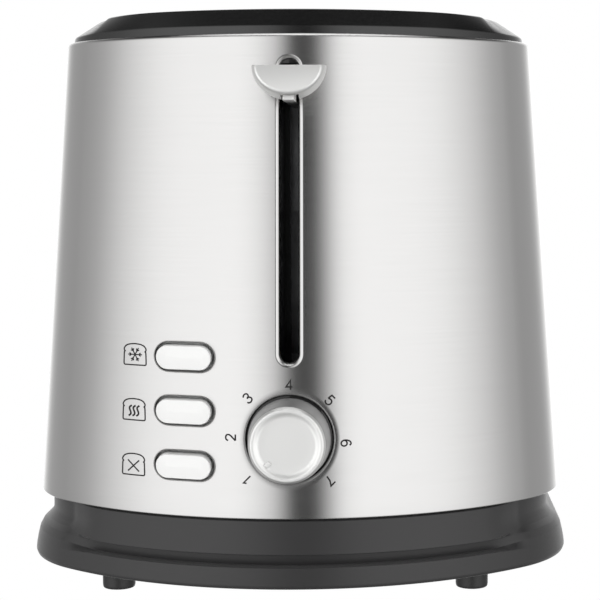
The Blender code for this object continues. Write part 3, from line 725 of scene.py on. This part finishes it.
BASE_BOTTOM = 6.2
BASE_TOP = 28.2
DECK_LOW = 24.5                # the deck that the inside stands on, with an opening for crumbs
DECK_TOP = 27.0
TRAY_HALF = 61.0
TRAY_LOW = 9.9
TRAY_HIGH = 20.3
OPENING_FLOOR = 9.5
OPENING_ROOF = 20.7
SLEEVE_END = 104.0             # how far forward the opening's sleeve reaches


def build_base():
    """Flared base with a grooved front. Each corner is (z, inset) on the front, on the rest, and a radius."""
    corners = (((BASE_TOP, 3.0), (BASE_TOP, 3.7), 0), ((27.6, 0.5), (27.6, 3.7), 0.3),
               ((21.5, -0.2), (21.2, 3.7), 2.0), ((17.1, -0.9), (19.0, 2.0), 0.2),
               ((16.8, 0.6), (17.4, 0.1), 0.2), ((13.4, 1.4), (15.2, -1.1), 0.2),
               ((13.1, -1.5), (12.2, -1.8), 0.2),
               ((OPENING_FLOOR, -1.86), (OPENING_FLOOR, -2.3), 0), ((7.2, -1.98), (7.6, -2.5), 0.5),
               ((BASE_BOTTOM, -1.5), (BASE_BOTTOM, -1.9), 0.5), ((BASE_BOTTOM, 1.6), (BASE_BOTTOM, 1.0), 0.4),
               ((OPENING_FLOOR, 2.8), (OPENING_FLOOR, 1.1), 0), ((14.0, 4.4), (14.0, 1.2), 0.4),
               ((OPENING_ROOF, 4.3), (OPENING_ROOF, 4.8), 0), ((DECK_LOW, 5.8), (DECK_LOW, 5.8), 0))
    shape = Shape()
    rows = outline_rows(shape, [(*end, radius) for end, _, radius in corners],
                        [(*side, radius) for _, side, radius in corners], (48.0, 12.0), front_only=True,
                        upwards=False)
    heights = [shape.points[row[len(STATIONS) // 2]].z for row in rows]
    lowest = heights.index(min(heights))

    def nearest(numbers, height):
        return min(numbers, key=lambda number: abs(heights[number] - height))

    floor_row = nearest(range(lowest), OPENING_FLOOR)
    roof_row = nearest(range(floor_row), TRAY_HIGH + GAP)
    inner_floor = nearest(range(lowest, len(rows)), OPENING_FLOOR)
    inner_roof = nearest(range(lowest, len(rows)), OPENING_ROOF)
    reach = math.asin(TRAY_HALF / END_RADIUS)
    opening = [index for index, station in enumerate(STATIONS)
               if abs(math.remainder(station[3] - math.pi, 2.0 * math.pi)) < reach]
    first, right = opening[0] - 1, opening[-1] + 1
    for number, (upper, lower) in enumerate(zip(rows, rows[1:])):
        in_wall = roof_row <= number < floor_row or inner_floor <= number < inner_roof
        shape.skin(lower, upper, left_out=range(first, right) if in_wall else ())
    rim = window_rim(rows, roof_row, floor_row, first, right)
    middle = sum((shape.points[index] for index in rim), Vector()) / len(rim)
    walls = []
    for at_end in (False, True):
        points, normals = [], []
        for index in rim:
            point = shape.points[index].copy()
            if at_end:
                point.y = SLEEVE_END
            points.append(point)
            to_middle = middle - point
            normals.append((to_middle.x * 0.02, 0.0, to_middle.z))
        walls.append(shape.add(points, normals))
    shape.skin_rows(walls)
    # The sleeve's inner end joins the base's inner wall, round the same opening there
    end, drop, across = walls[1], floor_row - roof_row, right - first
    end_roof = end[:across + 1]
    end_right = end[across:across + drop + 1]
    end_floor = list(reversed(end[across + drop:2 * across + drop + 1]))
    end_left = end[2 * across + drop:] + end[:1]
    for step in range(across):
        index = first + step
        shape.faces.append((rows[inner_roof][index], rows[inner_roof][index + 1],
                            end_roof[step + 1], end_roof[step]))
        shape.faces.append((rows[inner_floor][index + 1], rows[inner_floor][index],
                            end_floor[step], end_floor[step + 1]))
    inner_left = [rows[number][first] for number in range(inner_floor, inner_roof + 1)]
    inner_right = [rows[number][right] for number in range(inner_roof, inner_floor - 1, -1)]
    shape.faces.append(tuple(inner_left + list(reversed(end_left))))
    shape.faces.append(tuple(inner_right + list(reversed(end_right))))

    deck = []
    for z in (DECK_LOW, DECK_TOP):
        outline = [station_point(s, 0.0, 0.0) for s in STATIONS]
        points = [(point.x * 0.6, point.y * 0.55 + 12.0, z) for point in outline]
        deck.append(shape.add(points, [-outward(s[3]) for s in STATIONS]))
    shape.skin(rows[-1], deck[0])
    shape.skin(deck[0], deck[1])
    up = Vector((0.0, 0.0, 1.0))
    shelf = shape.add([station_point(s, 5.6, DECK_TOP) for s in STATIONS], [up for _ in STATIONS])
    inner = shape.add([station_point(s, 5.6, BASE_TOP) for s in STATIONS], [up for _ in STATIONS])
    shape.skin_rows([deck[1], shelf, inner, rows[0]])
    make_piece("base_moulded", shape, "grey_plastic", "housing", ("base_skirt",))


build_base()


def build_tray_handle():
    """Handle whose outside follows the base, with a grip in the middle."""
    back, grip_half, steps = 112.3, 22.0, 14
    right = []
    for step in range(steps + 1):
        x = TRAY_HALF + (grip_half + 3.0 - TRAY_HALF) * step / steps
        right.append((x, -front_y(x, SHELL_BOTTOM, -1.8)))
    right += [(grip_half + 0.6, right[-1][1] + 0.8), (grip_half - 0.8, -KNOB_FRONT - 4.0),
              (grip_half - 2.0, -KNOB_FRONT - 1.4), (grip_half - 5.0, -KNOB_FRONT - 0.2),
              (grip_half - 12.0, -KNOB_FRONT)]
    left = [(-x, y) for x, y in reversed(right)]
    outline = [(-TRAY_HALF, back), (TRAY_HALF, back)] + right + left
    shape = Shape()
    rows = [shape.add([(x, y, z) for x, y in outline]) for z in (TRAY_LOW, TRAY_HIGH)]
    shape.skin_rows(rows)
    shape.cap_ends(rows)
    piece = make_piece("tray_handle_moulded", shape, "grey_plastic", "tray", ("tray_handle",), crease=35.0)
    bevel(piece, 0.9, segments=4, angle=50.0)


build_tray_handle()


def upright(x, y):
    """Turning about a vertical line."""
    return lambda radius, angle, along: Vector(
        (x + radius * math.cos(angle), y + radius * math.sin(angle), along))


def facing(x, z):
    """Turning about a line along Y, for profiles that run from the back to the front."""
    return lambda radius, angle, along: Vector(
        (x + radius * math.cos(angle), along, z + radius * math.sin(angle)))


FOOT_X, FOOT_Y = 58.6, 105.5
GLAND_X, GLAND_Z = -69.0, 15.0


def build_feet():
    for side, x in (("left", -FOOT_X), ("right", FOOT_X)):
        for end, y in (("front", -FOOT_Y), ("rear", FOOT_Y)):
            shape = Shape()
            profile = [(0.6, 0.0, 0), (5.1, 0.0, 0.5), (5.35, 0.9, 0.4), (5.4, 7.2, 0.5), (4.9, 7.7, 0.0),
                       (0.6, 7.7, 0)]
            rows = turned(shape, profile, upright(x, y), 40)
            shape.cap_ends(rows)
            make_piece(f"foot_{end}_{side}_moulded", shape, "foot_rubber", "housing", (f"foot_{end}_{side}",))


build_feet()


def build_gland():
    """Ribbed gland at the rear. No cord comes out of it."""
    shape = Shape()
    profile = [(3.2, 101.0, 0), (4.8, 101.0, 0.3), (4.8, 118.4, 0.3), (6.2, 119.0, 0.4), (6.2, 120.8, 0.7),
               (5.3, 121.4, 0.3), (5.25, 122.2, 0.3), (4.6, 122.5, 0.2), (4.6, 123.1, 0.2), (5.2, 123.4, 0.3),
               (5.1, 124.3, 0.3), (4.5, 124.6, 0.2), (4.5, 125.0, 0.2), (5.0, 125.3, 0.3), (4.9, 126.0, 0.4),
               (3.2, 126.0, 0.4), (3.2, 114.0, 0), (0.4, 114.0, 0)]
    turned(shape, profile, facing(GLAND_X, GLAND_Z), 40)
    make_piece("cord_gland_moulded", shape, "black_plastic", "housing", ("cord_gland",))


build_gland()


# ------------------------------------ dial

KNOB_WALL = 11.95              # outside this radius the knob's side takes a darker copy of its silver, which is painted shade
DIAL_REST = math.radians(225.0)
TAB_INNER, TAB_OUTER, TAB_HALF = 7.4, 9.5, 0.8


def build_dial():
    """Dished knob, from a turned (radius, y, rounding) profile, and the pointer on its face."""
    back = front_y(0.0, DIAL_Z) + 1.0
    front = KNOB_FRONT
    profile = [(0.3, back, 0), (12.7, back, 0.4), (13.15, back - 0.6, 0.5), (12.15, front + 1.4, 1.0),
               (11.3, front, 1.2), (10.3, front, 0.6), (9.1, front + 0.72, 0.7), (7.0, front + 0.78, 0.5),
               (0.3, front + 0.75, 0)]
    shape = Shape()
    rows = turned(shape, profile, facing(0.0, DIAL_Z), 96, steps=6, sense=-1.0)
    shape.cap_ends(rows)
    knob = make_piece("dial_knob_dished", shape, "silver_plastic", "dial", ("dial_knob",))
    # The knob's side gets the darker silver: painted shade on its wall
    knob.data.materials.append(LOOKS["painted_shade_silver"])
    for polygon in knob.data.polygons:
        radius = math.hypot(polygon.center.x, polygon.center.z - DIAL_Z * MM)
        if radius > KNOB_WALL * MM:
            polygon.material_index = 1
    tab = Shape()
    out = Vector((math.cos(DIAL_REST), 0.0, math.sin(DIAL_REST)))
    side = Vector((-math.sin(DIAL_REST), 0.0, math.cos(DIAL_REST)))
    centre = Vector((0.0, front + 0.78, DIAL_Z))
    rows = []
    for depth, shrink in ((0.4, 0.0), (-0.45, 0.0), (-0.72, 0.4)):
        inner, outer, half = TAB_INNER + shrink, TAB_OUTER - shrink, TAB_HALF - shrink
        corners = [(inner, -half), (outer, -half), (outer, half), (inner, half)]
        rows.append(tab.add([centre + out * a + side * b + Vector((0.0, depth, 0.0)) for a, b in corners]))
    tab.skin_rows(rows)
    tab.cap_ends(rows)
    bevel(make_piece("dial_pointer", tab, "silver_plastic", "dial", slot="silver_plastic", crease=30.0), 0.12)


build_dial()


# ------------------------------------ buttons

BUTTON_FRONT = -3.0            # inset of a button's face: it stands proud of the shell
BUTTON_EDGE = 0.4              # radius of its edge


def build_buttons():
    """Buttons whose faces follow the shell, from (shrink, inset) sections, each with its stem."""
    cap_x, cap_z = BUTTON_CAP
    sections = [(inset, BUTTON_FRONT - 0.06 * inset / BUTTON_EDGE) for inset in (3.6, 2.4, 1.2)]
    for step in range(8):
        turn = math.pi / 2.0 * step / 7.0
        sections.append((BUTTON_EDGE * (1.0 - math.sin(turn)),
                         BUTTON_FRONT + BUTTON_EDGE * (1.0 - math.cos(turn))))
    sections += [(0.0, 4.3), (-2.4, 4.3), (-2.4, 5.5), (2.1, 5.5)]
    for name, z in BUTTONS.items():
        shape = Shape()
        rows = []
        for shrink, inset in sections:
            pairs = obround((BUTTON_X, z), cap_x - 2.0 * shrink, cap_z - 2.0 * shrink, 0.0, 16)
            rows.append(shape.add([(x, front_y(x, z, inset), height) for (x, height), _ in pairs]))
        tip = SWITCH_FRONT - BUTTON_TRAVEL - GAP
        pairs = obround((BUTTON_X, z), 5.0, 4.0, 0.0, 16)
        rows.append(shape.add([(x, tip, height) for (x, height), _ in pairs]))
        shape.skin_rows(rows)
        shape.cap(rows[-1])
        right = rows[0][:len(rows[0]) // 2]
        left = list(reversed(rows[0][len(rows[0]) // 2:]))
        shape.skin(right, left, wrap=False)
        make_piece(f"{name}_moulded", shape, "white_plastic", BUTTON_BODIES[name], (name,), crease=35.0)


build_buttons()


# ------------------------------------ lever

KNOB_BACK = front_y(0.0, 166.0) - 6.6
KNOB_DEPTH = 8.0
KNOB_TOP = 170.6
KNOB_X = 0.5                   # middles of the knob, of its notch and of the arm's front end
NOTCH_X = 0.9
ARM_X = 0.45
ARM_END = -72.3
KNOB_BOW = 1.7                 # how far the knob's face curves back at its top, and where that begins
KNOB_BOW_FROM = 162.0


def half_moon(half_width, top, low, y, bow=1.0, steps=40):
    """Points of a half-moon, from its left corner round to the right. bow leans its top backwards."""
    points = []
    for step in range(steps + 1):
        turn = math.pi * (1.0 + step / steps)
        z = top + (top - low) * math.sin(turn)
        share = max(0.0, z - KNOB_BOW_FROM) / (KNOB_TOP - KNOB_BOW_FROM)
        points.append((KNOB_X + half_width * math.cos(turn), y + bow * KNOB_BOW * share * share, z))
    return points


def build_lever():
    """Knob with a notch for its arm, from (half width, top, low, y, bow) sections, and the arm."""
    face = KNOB_BACK - KNOB_DEPTH
    shape = Shape()
    sections = [(11.3, KNOB_TOP, 160.2, KNOB_BACK, 0.0), (11.6, KNOB_TOP, 159.95, KNOB_BACK - 0.3, 0.0),
                (11.7, KNOB_TOP, 159.9, KNOB_BACK - 0.8, 0.0), (11.45, KNOB_TOP, 160.2, KNOB_BACK - 2.6, 0.0),
                (11.25, KNOB_TOP, 160.6, KNOB_BACK - 4.4, 0.1), (11.05, KNOB_TOP, 161.0, face + 2.0, 0.6),
                (10.9, KNOB_TOP, 161.25, face + 1.1), (10.7, 170.59, 161.5, face + 0.6),
                (10.4, 170.56, 161.85, face + 0.22), (10.05, 170.52, 162.25, face + 0.03),
                (9.7, 170.48, 162.6, face), (9.3, 170.45, 163.0, face + 0.06)]
    rows = [shape.add(half_moon(*section)) for section in sections]
    shape.skin_rows(rows)
    shape.cap(rows[0], flip=True)
    face_row = rows[-1]
    lowest = len(face_row) // 2
    for index in range(lowest - 1):
        mirror = len(face_row) - 1 - index
        shape.faces.append((face_row[index], face_row[index + 1], face_row[mirror - 1], face_row[mirror]))
    shape.cap(face_row[lowest - 1:lowest + 2])
    knob = make_piece("lever_knob_moulded", shape, "silver_plastic", "carriage", ("lever_knob",), crease=40.0)
    notch = Shape()
    left, right = NOTCH_X - 2.8, NOTCH_X + 2.8
    corners = [(left, 150.0), (right, 150.0), (right, 165.0), (left, 165.0)]
    ends = [notch.add([(x, y, z) for x, z in corners]) for y in (KNOB_BACK + 2.0, face + 1.7)]
    notch.skin_rows(ends)
    notch.cap_ends(ends)
    cut_with(knob, notch)

    arm = Shape()
    rows = []
    sections = ((face + 3.3, ARM_X, 1.6, 159.9, 166.0), (face + 3.5, ARM_X, 1.8, 159.7, 166.2),
                (KNOB_BACK + 4.0, ARM_X, 1.8, 159.6, 167.0), (ARM_END, 0.0, 1.8, 159.6, 167.6))
    for y, x, half, low, high in sections:
        corners = [(x - half, low), (x + half, low), (x + half, high), (x - half, high)]
        rows.append(arm.add([(a, y, z) for a, z in corners]))
    arm.skin_rows(rows)
    arm.cap_ends(rows)
    piece = make_piece("lever_arm_moulded", arm, "silver_plastic", "carriage", ("lever_arm",),
                       crease=30.0, slot="galvanised_sheet")
    bevel(piece, 0.25)


def cut_with(piece, tool_shape):
    """Subtract a closed shape from a piece and keep only the result."""
    mesh = bpy.data.meshes.new("cutter")
    mesh.from_pydata([point * MM for point in tool_shape.points], [], tool_shape.faces)
    turn_faces_out(mesh)
    tool = new_object("cutter", mesh)
    modifier = piece.modifiers.new("cut", "BOOLEAN")
    modifier.operation = "DIFFERENCE"
    modifier.solver = "EXACT"
    modifier.object = tool
    graph = bpy.context.evaluated_depsgraph_get()
    result = bpy.data.meshes.new_from_object(piece.evaluated_get(graph))
    piece.modifiers.clear()
    piece.data = result
    result.set_sharp_from_angle(angle=math.radians(35.0))
    bpy.data.objects.remove(tool)


build_lever()


# ------------------------------------ inside

def build_spring():
    """Return spring, wound round a vertical line."""
    x, y = -14.0, -78.0
    turns, steps, wire, coil = 14, 24, 0.6, 4.0
    low, high = 34.0 + wire, 145.7 - wire
    path = []
    for index in range(turns * steps + 1):
        turn = 2.0 * math.pi * index / steps
        path.append((x + coil * math.cos(turn), y + coil * math.sin(turn),
                     low + (high - low) * index / (turns * steps)))
    shape = Shape()
    tube(shape, path, wire, 8)
    spring = make_piece("return_spring_wound", shape, "steel_fastener", "housing", ("return_spring",))
    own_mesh(spring)


build_spring()


def build_bread_guides():
    """Wire cages of eight upright bars. Each rests on a hinge wire at its foot."""
    bars = 8
    wire = 0.8
    low, high = WELL_FRONT, WELL_REAR
    lines = [low + 3.0 + (high - low - 6.0) * index / (bars - 1) for index in range(bars)]
    middle_z = (HINGE_Z + GUIDE_TOP) / 2.0
    for side, sign in (("left", -1.0), ("right", 1.0)):
        for place, offset in (("outer", sign * WELL_HALF), ("inner", -sign * WELL_HALF)):
            x = sign * WELL_X + offset
            shape = Shape()
            tube(shape, [(x, low - 7.2, HINGE_Z), (x, high + 7.2, HINGE_Z)], wire, 10)
            for z in (middle_z, GUIDE_TOP - wire):
                tube(shape, [(x, lines[0], z), (x, lines[-1], z)], wire, 10)
            for y in lines:
                tube(shape, [(x, y, HINGE_Z), (x, y, GUIDE_TOP - wire)], wire, 10)
            make_piece(f"bread_guide_{side}_{place}_wire", shape, "chromed_wire",
                       f"guide_{side}_{place}", (f"bread_guide_{side}_{place}",))


build_bread_guides()


# ------------------------------------ printed marks

def print_strokes(name, strokes, width):
    """Ink lines on the steel front, from flat (x, z) paths. A path that ends where it began is closed."""
    shape = Shape()
    for path in strokes:
        closed = math.dist(path[0], path[-1]) < 1e-6
        points = [Vector(point) for point in (path[:-1] if closed else path)]
        count = len(points)
        rows = []
        for index, point in enumerate(points):
            if closed:
                before, after = points[index - 1], points[(index + 1) % count]
            else:
                before, after = points[max(index - 1, 0)], points[min(index + 1, count - 1)]
            into = (point - before).normalized() if before != point else (after - point).normalized()
            out = (after - point).normalized() if after != point else into
            way = (into + out).normalized()
            side = Vector((-way.y, way.x))
            reach = width / 2.0 / max(0.5, abs(way.dot(into)))
            ring = []
            for sign, lift in ((1.0, 0.04), (-1.0, 0.04), (-1.0, -0.05), (1.0, -0.05)):
                x, z = point + sign * reach * side
                ring.append((x, front_y(x, z) - lift, z))
            rows.append(shape.add(ring))
        shape.skin_rows(rows, loop=closed)
        if not closed:
            shape.cap_ends(rows)
    make_piece(name, shape, "print_ink", "housing", crease=20.0)


GLYPHS = {
    1: [[(-0.14, 0.30), (0.08, 0.5), (0.08, -0.5)]],
    2: [catmull([(-0.27, 0.24), (-0.2, 0.42), (0.0, 0.5), (0.2, 0.43), (0.27, 0.24), (0.2, 0.03), (0.0, -0.2),
                 (-0.28, -0.5)]), [(-0.28, -0.5), (0.29, -0.5)]],
    3: [catmull([(-0.25, 0.36), (-0.05, 0.5), (0.18, 0.44), (0.25, 0.26), (0.16, 0.08), (-0.06, 0.03)]),
        catmull([(-0.06, 0.03), (0.18, -0.03), (0.28, -0.23), (0.2, -0.42), (0.0, -0.5), (-0.2, -0.43),
                 (-0.28, -0.27)])],
    4: [[(0.12, -0.5), (0.12, 0.5), (-0.3, -0.2), (0.3, -0.2)]],
    5: [[(0.24, 0.5), (-0.18, 0.5), (-0.24, 0.02)],
        catmull([(-0.24, 0.02), (-0.02, 0.12), (0.2, 0.05), (0.28, -0.17), (0.2, -0.4), (0.0, -0.5),
                 (-0.2, -0.43), (-0.28, -0.28)])],
    6: [catmull([(0.22, 0.36), (0.04, 0.5), (-0.17, 0.38), (-0.27, 0.05), (-0.25, -0.25), (-0.12, -0.45),
                 (0.03, -0.5), (0.2, -0.42), (0.27, -0.2), (0.2, 0.02), (0.02, 0.1), (-0.17, 0.02),
                 (-0.26, -0.14)])],
    7: [[(-0.28, 0.5), (0.28, 0.5), (0.0, 0.02), (-0.08, -0.5)]],
}
GLYPH_HEIGHT = 3.1
GLYPH_WIDTH = 3.4
GLYPH_STROKE = 0.50
# Distance from the dial's centre and direction of each number
NUMBER_PLACES = {1: (18.4, 224.0), 2: (18.7, 178.5), 3: (18.5, 135.7), 4: (17.2, 90.0), 5: (17.7, 43.9),
                 6: (17.9, -4.2), 7: (18.1, -45.5)}


def print_numbers():
    for number, strokes in GLYPHS.items():
        angle = DIAL_REST - math.radians(45.0 * (number - 1))
        up = Vector((math.cos(angle), math.sin(angle)))
        across = Vector((up.y, -up.x))
        ring, direction = NUMBER_PLACES[number]
        centre = Vector((0.0, DIAL_Z)) + ring * Vector((math.cos(math.radians(direction)),
                                                        math.sin(math.radians(direction))))
        placed = [[tuple(centre + across * a * GLYPH_WIDTH + up * b * GLYPH_HEIGHT) for a, b in stroke]
                  for stroke in strokes]
        print_strokes(f"dial_mark_{number}", placed, GLYPH_STROKE)


ICON_STROKE = 0.43
# Each icon's middle
ICON_PLACES = {"defrost": (-50.65, 78.8), "reheat": (-50.95, 61.1), "cancel": (-51.1, 43.5)}


def bread_outline():
    """Slice of bread with a low arch and a small notch at each shoulder."""
    side = [(3.5, -3.34), (3.86, -3.0), (3.86, -1.4), (3.76, 0.7), (3.5, 1.0), (3.82, 1.4), (3.75, 2.0),
            (3.1, 2.8), (1.8, 3.3), (0.0, 3.48)]
    right = [(0.0, -3.35)] + catmull(side, steps=5)
    left = [(-x, z) for x, z in reversed(right[1:-1])]
    return right + left + [right[0]]


def icon_snowflake():
    strokes = []
    for turn in range(6):
        angle = math.radians(60.0 * turn)
        way = Vector((math.cos(angle), math.sin(angle)))
        strokes.append([(0.0, 0.0), tuple(2.45 * way)])
        for side in (-1.0, 1.0):
            tip = angle + side * math.radians(40.0)
            start = 1.3 * way
            strokes.append([tuple(start), tuple(start + 0.85 * Vector((math.cos(tip), math.sin(tip))))])
    return strokes


def icon_waves():
    wave = catmull([(0.56, 1.3), (-0.14, 0.8), (-0.24, 0.2), (0.2, -0.9), (0.1, -1.55), (-0.56, -2.05)])
    return [[(x + offset, z) for x, z in wave] for offset in (-1.34, 0.0, 1.34)]


def icon_cross():
    half_x, half_z, middle = 1.95, 1.78, -0.4
    low, high = middle - half_z, middle + half_z
    return [[(-half_x, low), (half_x, high)], [(-half_x, high), (half_x, low)]]


def print_icons():
    inner_strokes = {"defrost": (icon_snowflake(), 0.36), "reheat": (icon_waves(), 0.58),
                     "cancel": (icon_cross(), 0.45)}
    for name, (x, z) in ICON_PLACES.items():
        inner, stroke = inner_strokes[name]
        for part, paths, width in (("outline", [bread_outline()], ICON_STROKE), ("symbol", inner, stroke)):
            placed = [[(x + a, z + b) for a, b in path] for path in paths]
            print_strokes(f"{name}_{part}", placed, width)


print_numbers()
print_icons()


# ------------------------------------ floor, light and camera

def build_floor():
    """White floor that leaves no mark on the light round the toaster."""
    floor = bpy.data.meshes.new("floor")
    half = 6.0
    floor.from_pydata([(-half, -half, 0.0), (half, -half, 0.0), (half, half, 0.0), (-half, half, 0.0)], [],
                      [(0, 1, 2, 3)])
    look = bpy.data.materials.new("floor")
    look.use_nodes = True
    tree = look.node_tree
    tree.nodes.clear()
    output = add_node(tree, "OutputMaterial")
    glow = add_node(tree, "Emission", Color=(1.0, 1.0, 1.0, 1.0), Strength=1.0)
    tree.links.new(glow.outputs["Emission"], output.inputs["Surface"])
    floor.materials.append(look)
    piece = new_object("floor", floor)
    piece.visible_glossy = piece.visible_diffuse = piece.visible_shadow = False


# Brightness of the studio walls against the azimuth in degrees to either side of the front.
WALLS = ((0.0, 1.14), (30.0, 1.14), (48.0, 1.11), (58.0, 1.05), (66.0, 0.94), (75.0, 0.78), (82.0, 0.62),
         (89.0, 0.47), (96.0, 0.39), (104.0, 0.345), (120.0, 0.345), (132.0, 0.36), (141.0, 0.43),
         (150.0, 0.58), (165.0, 0.90), (180.0, 1.0))
# Share of it that is left round the gap between the two front lights, where the camera stands.
LIGHT_GAP = ((-24.0, 1.0), (-19.0, 0.94), (-14.0, 0.82), (-9.5, 0.65), (-5.5, 0.33), (-3.0, 0.10),
             (-1.0, 0.04), (5.5, 0.05), (8.0, 0.18), (11.2, 0.45), (14.5, 0.75), (18.0, 0.92), (24.0, 1.0))
GAP_SPAN = 30.0
STUDIO_LEVEL = 1.95
RAMP_TOP = 1.2
# Share of the walls' brightness against the elevation in degrees
RISE = ((-90.0, 0.30), (-45.0, 0.35), (-15.0, 1.0), (28.0, 1.0), (39.0, 0.35), (47.0, 0.04), (90.0, 0.0))
# The ceiling's light begins at one elevation and is full from the other
CEILING = 2.4
CEILING_LOW = 58.0
CEILING_HIGH = 72.0


def add_ramp(tree, value, low, high, stops):
    """Colour ramp over a value in degrees that is given in radians."""
    share = add_node(tree, "MapRange", From_Min=math.radians(low), From_Max=math.radians(high))
    tree.links.new(value, share.inputs["Value"])
    ramp = add_node(tree, "ValToRGB")
    elements = ramp.color_ramp.elements
    elements.remove(elements[-1])
    for number, (angle, level) in enumerate(stops):
        position = (angle - low) / (high - low)
        element = elements[0] if number == 0 else elements.new(position)
        element.position = position
        element.color = (level / RAMP_TOP, level / RAMP_TOP, level / RAMP_TOP, 1.0)
    tree.links.new(share.outputs["Result"], ramp.inputs["Fac"])
    return ramp.outputs["Color"]


def add_math(tree, operation, first, second=None):
    node = add_node(tree, "Math")
    node.operation = operation
    for socket, value in zip(node.inputs, (first, second)):
        if isinstance(value, float):
            socket.default_value = value
        elif value is not None:
            tree.links.new(value, socket)
    return node.outputs["Value"]


def build_world():
    """Studio with bright walls and ceiling. The camera itself sees plain white behind the toaster."""
    world = bpy.data.worlds.new("studio")
    bpy.context.scene.world = world
    world.use_nodes = True
    tree = world.node_tree
    tree.nodes.clear()
    place = add_node(tree, "TexCoord")
    split = add_node(tree, "SeparateXYZ")
    tree.links.new(place.outputs["Generated"], split.inputs["Vector"])
    ahead = add_math(tree, "MULTIPLY", split.outputs["Y"], -1.0)
    azimuth = add_math(tree, "ARCTAN2", split.outputs["X"], ahead)
    walls = add_ramp(tree, add_math(tree, "ABSOLUTE", azimuth), 0.0, 180.0, WALLS)
    gap = add_ramp(tree, azimuth, -GAP_SPAN, GAP_SPAN, LIGHT_GAP)
    level = add_math(tree, "MULTIPLY", add_math(tree, "MULTIPLY", walls, gap), RAMP_TOP * RAMP_TOP)
    rise = add_ramp(tree, add_math(tree, "ARCSINE", split.outputs["Z"]), -90.0, 90.0, RISE)
    level = add_math(tree, "MULTIPLY", add_math(tree, "MULTIPLY", level, rise), RAMP_TOP * STUDIO_LEVEL)
    top = add_node(tree, "MapRange", From_Min=math.sin(math.radians(CEILING_LOW)),
                   From_Max=math.sin(math.radians(CEILING_HIGH)), To_Max=CEILING)
    tree.links.new(split.outputs["Z"], top.inputs["Value"])
    light = add_node(tree, "Background")
    tree.links.new(add_math(tree, "ADD", level, top.outputs["Result"]), light.inputs["Strength"])
    seen = add_node(tree, "Background", Color=(1.0, 1.0, 1.0, 1.0))
    rays = add_node(tree, "LightPath")
    mix = add_node(tree, "MixShader")
    tree.links.new(rays.outputs["Is Camera Ray"], mix.inputs["Fac"])
    tree.links.new(light.outputs["Background"], mix.inputs[1])
    tree.links.new(seen.outputs["Background"], mix.inputs[2])
    output = add_node(tree, "OutputWorld")
    tree.links.new(mix.outputs["Shader"], output.inputs["Surface"])


CAMERA_PLACE = (35.1, -672.4, 137.6)
CAMERA_TURNS = (-0.0008, 0.0503, -0.0020)        # turn, pitch and roll in radians
CAMERA_LENS = 103.37
CAMERA_SHIFT = (-0.1696, -0.0696)


def build_camera():
    """Camera with a shifted lens. It stands a little to the right and looks straight ahead and down."""
    camera = bpy.data.cameras.new("camera")
    camera.lens = CAMERA_LENS
    camera.sensor_width = 36.0
    camera.shift_x, camera.shift_y = CAMERA_SHIFT
    camera.clip_start = 0.05
    camera.clip_end = 50.0
    rig = new_object("camera", camera)
    turn, pitch, roll = CAMERA_TURNS
    forward = Vector((-math.sin(turn) * math.cos(pitch), math.cos(turn) * math.cos(pitch), -math.sin(pitch)))
    level = forward.cross(Vector((0.0, 0.0, 1.0))).normalized()
    rise = level.cross(forward)
    right = level * math.cos(roll) + rise * math.sin(roll)
    up = rise * math.cos(roll) - level * math.sin(roll)
    place = Vector(CAMERA_PLACE) * MM
    axes = Matrix((right, up, -forward)).transposed()
    rig.matrix_world = Matrix.Translation(place) @ axes.to_4x4()
    bpy.context.scene.camera = rig
    bpy.context.scene.view_settings.view_transform = "Standard"


build_floor()
build_world()
build_camera()
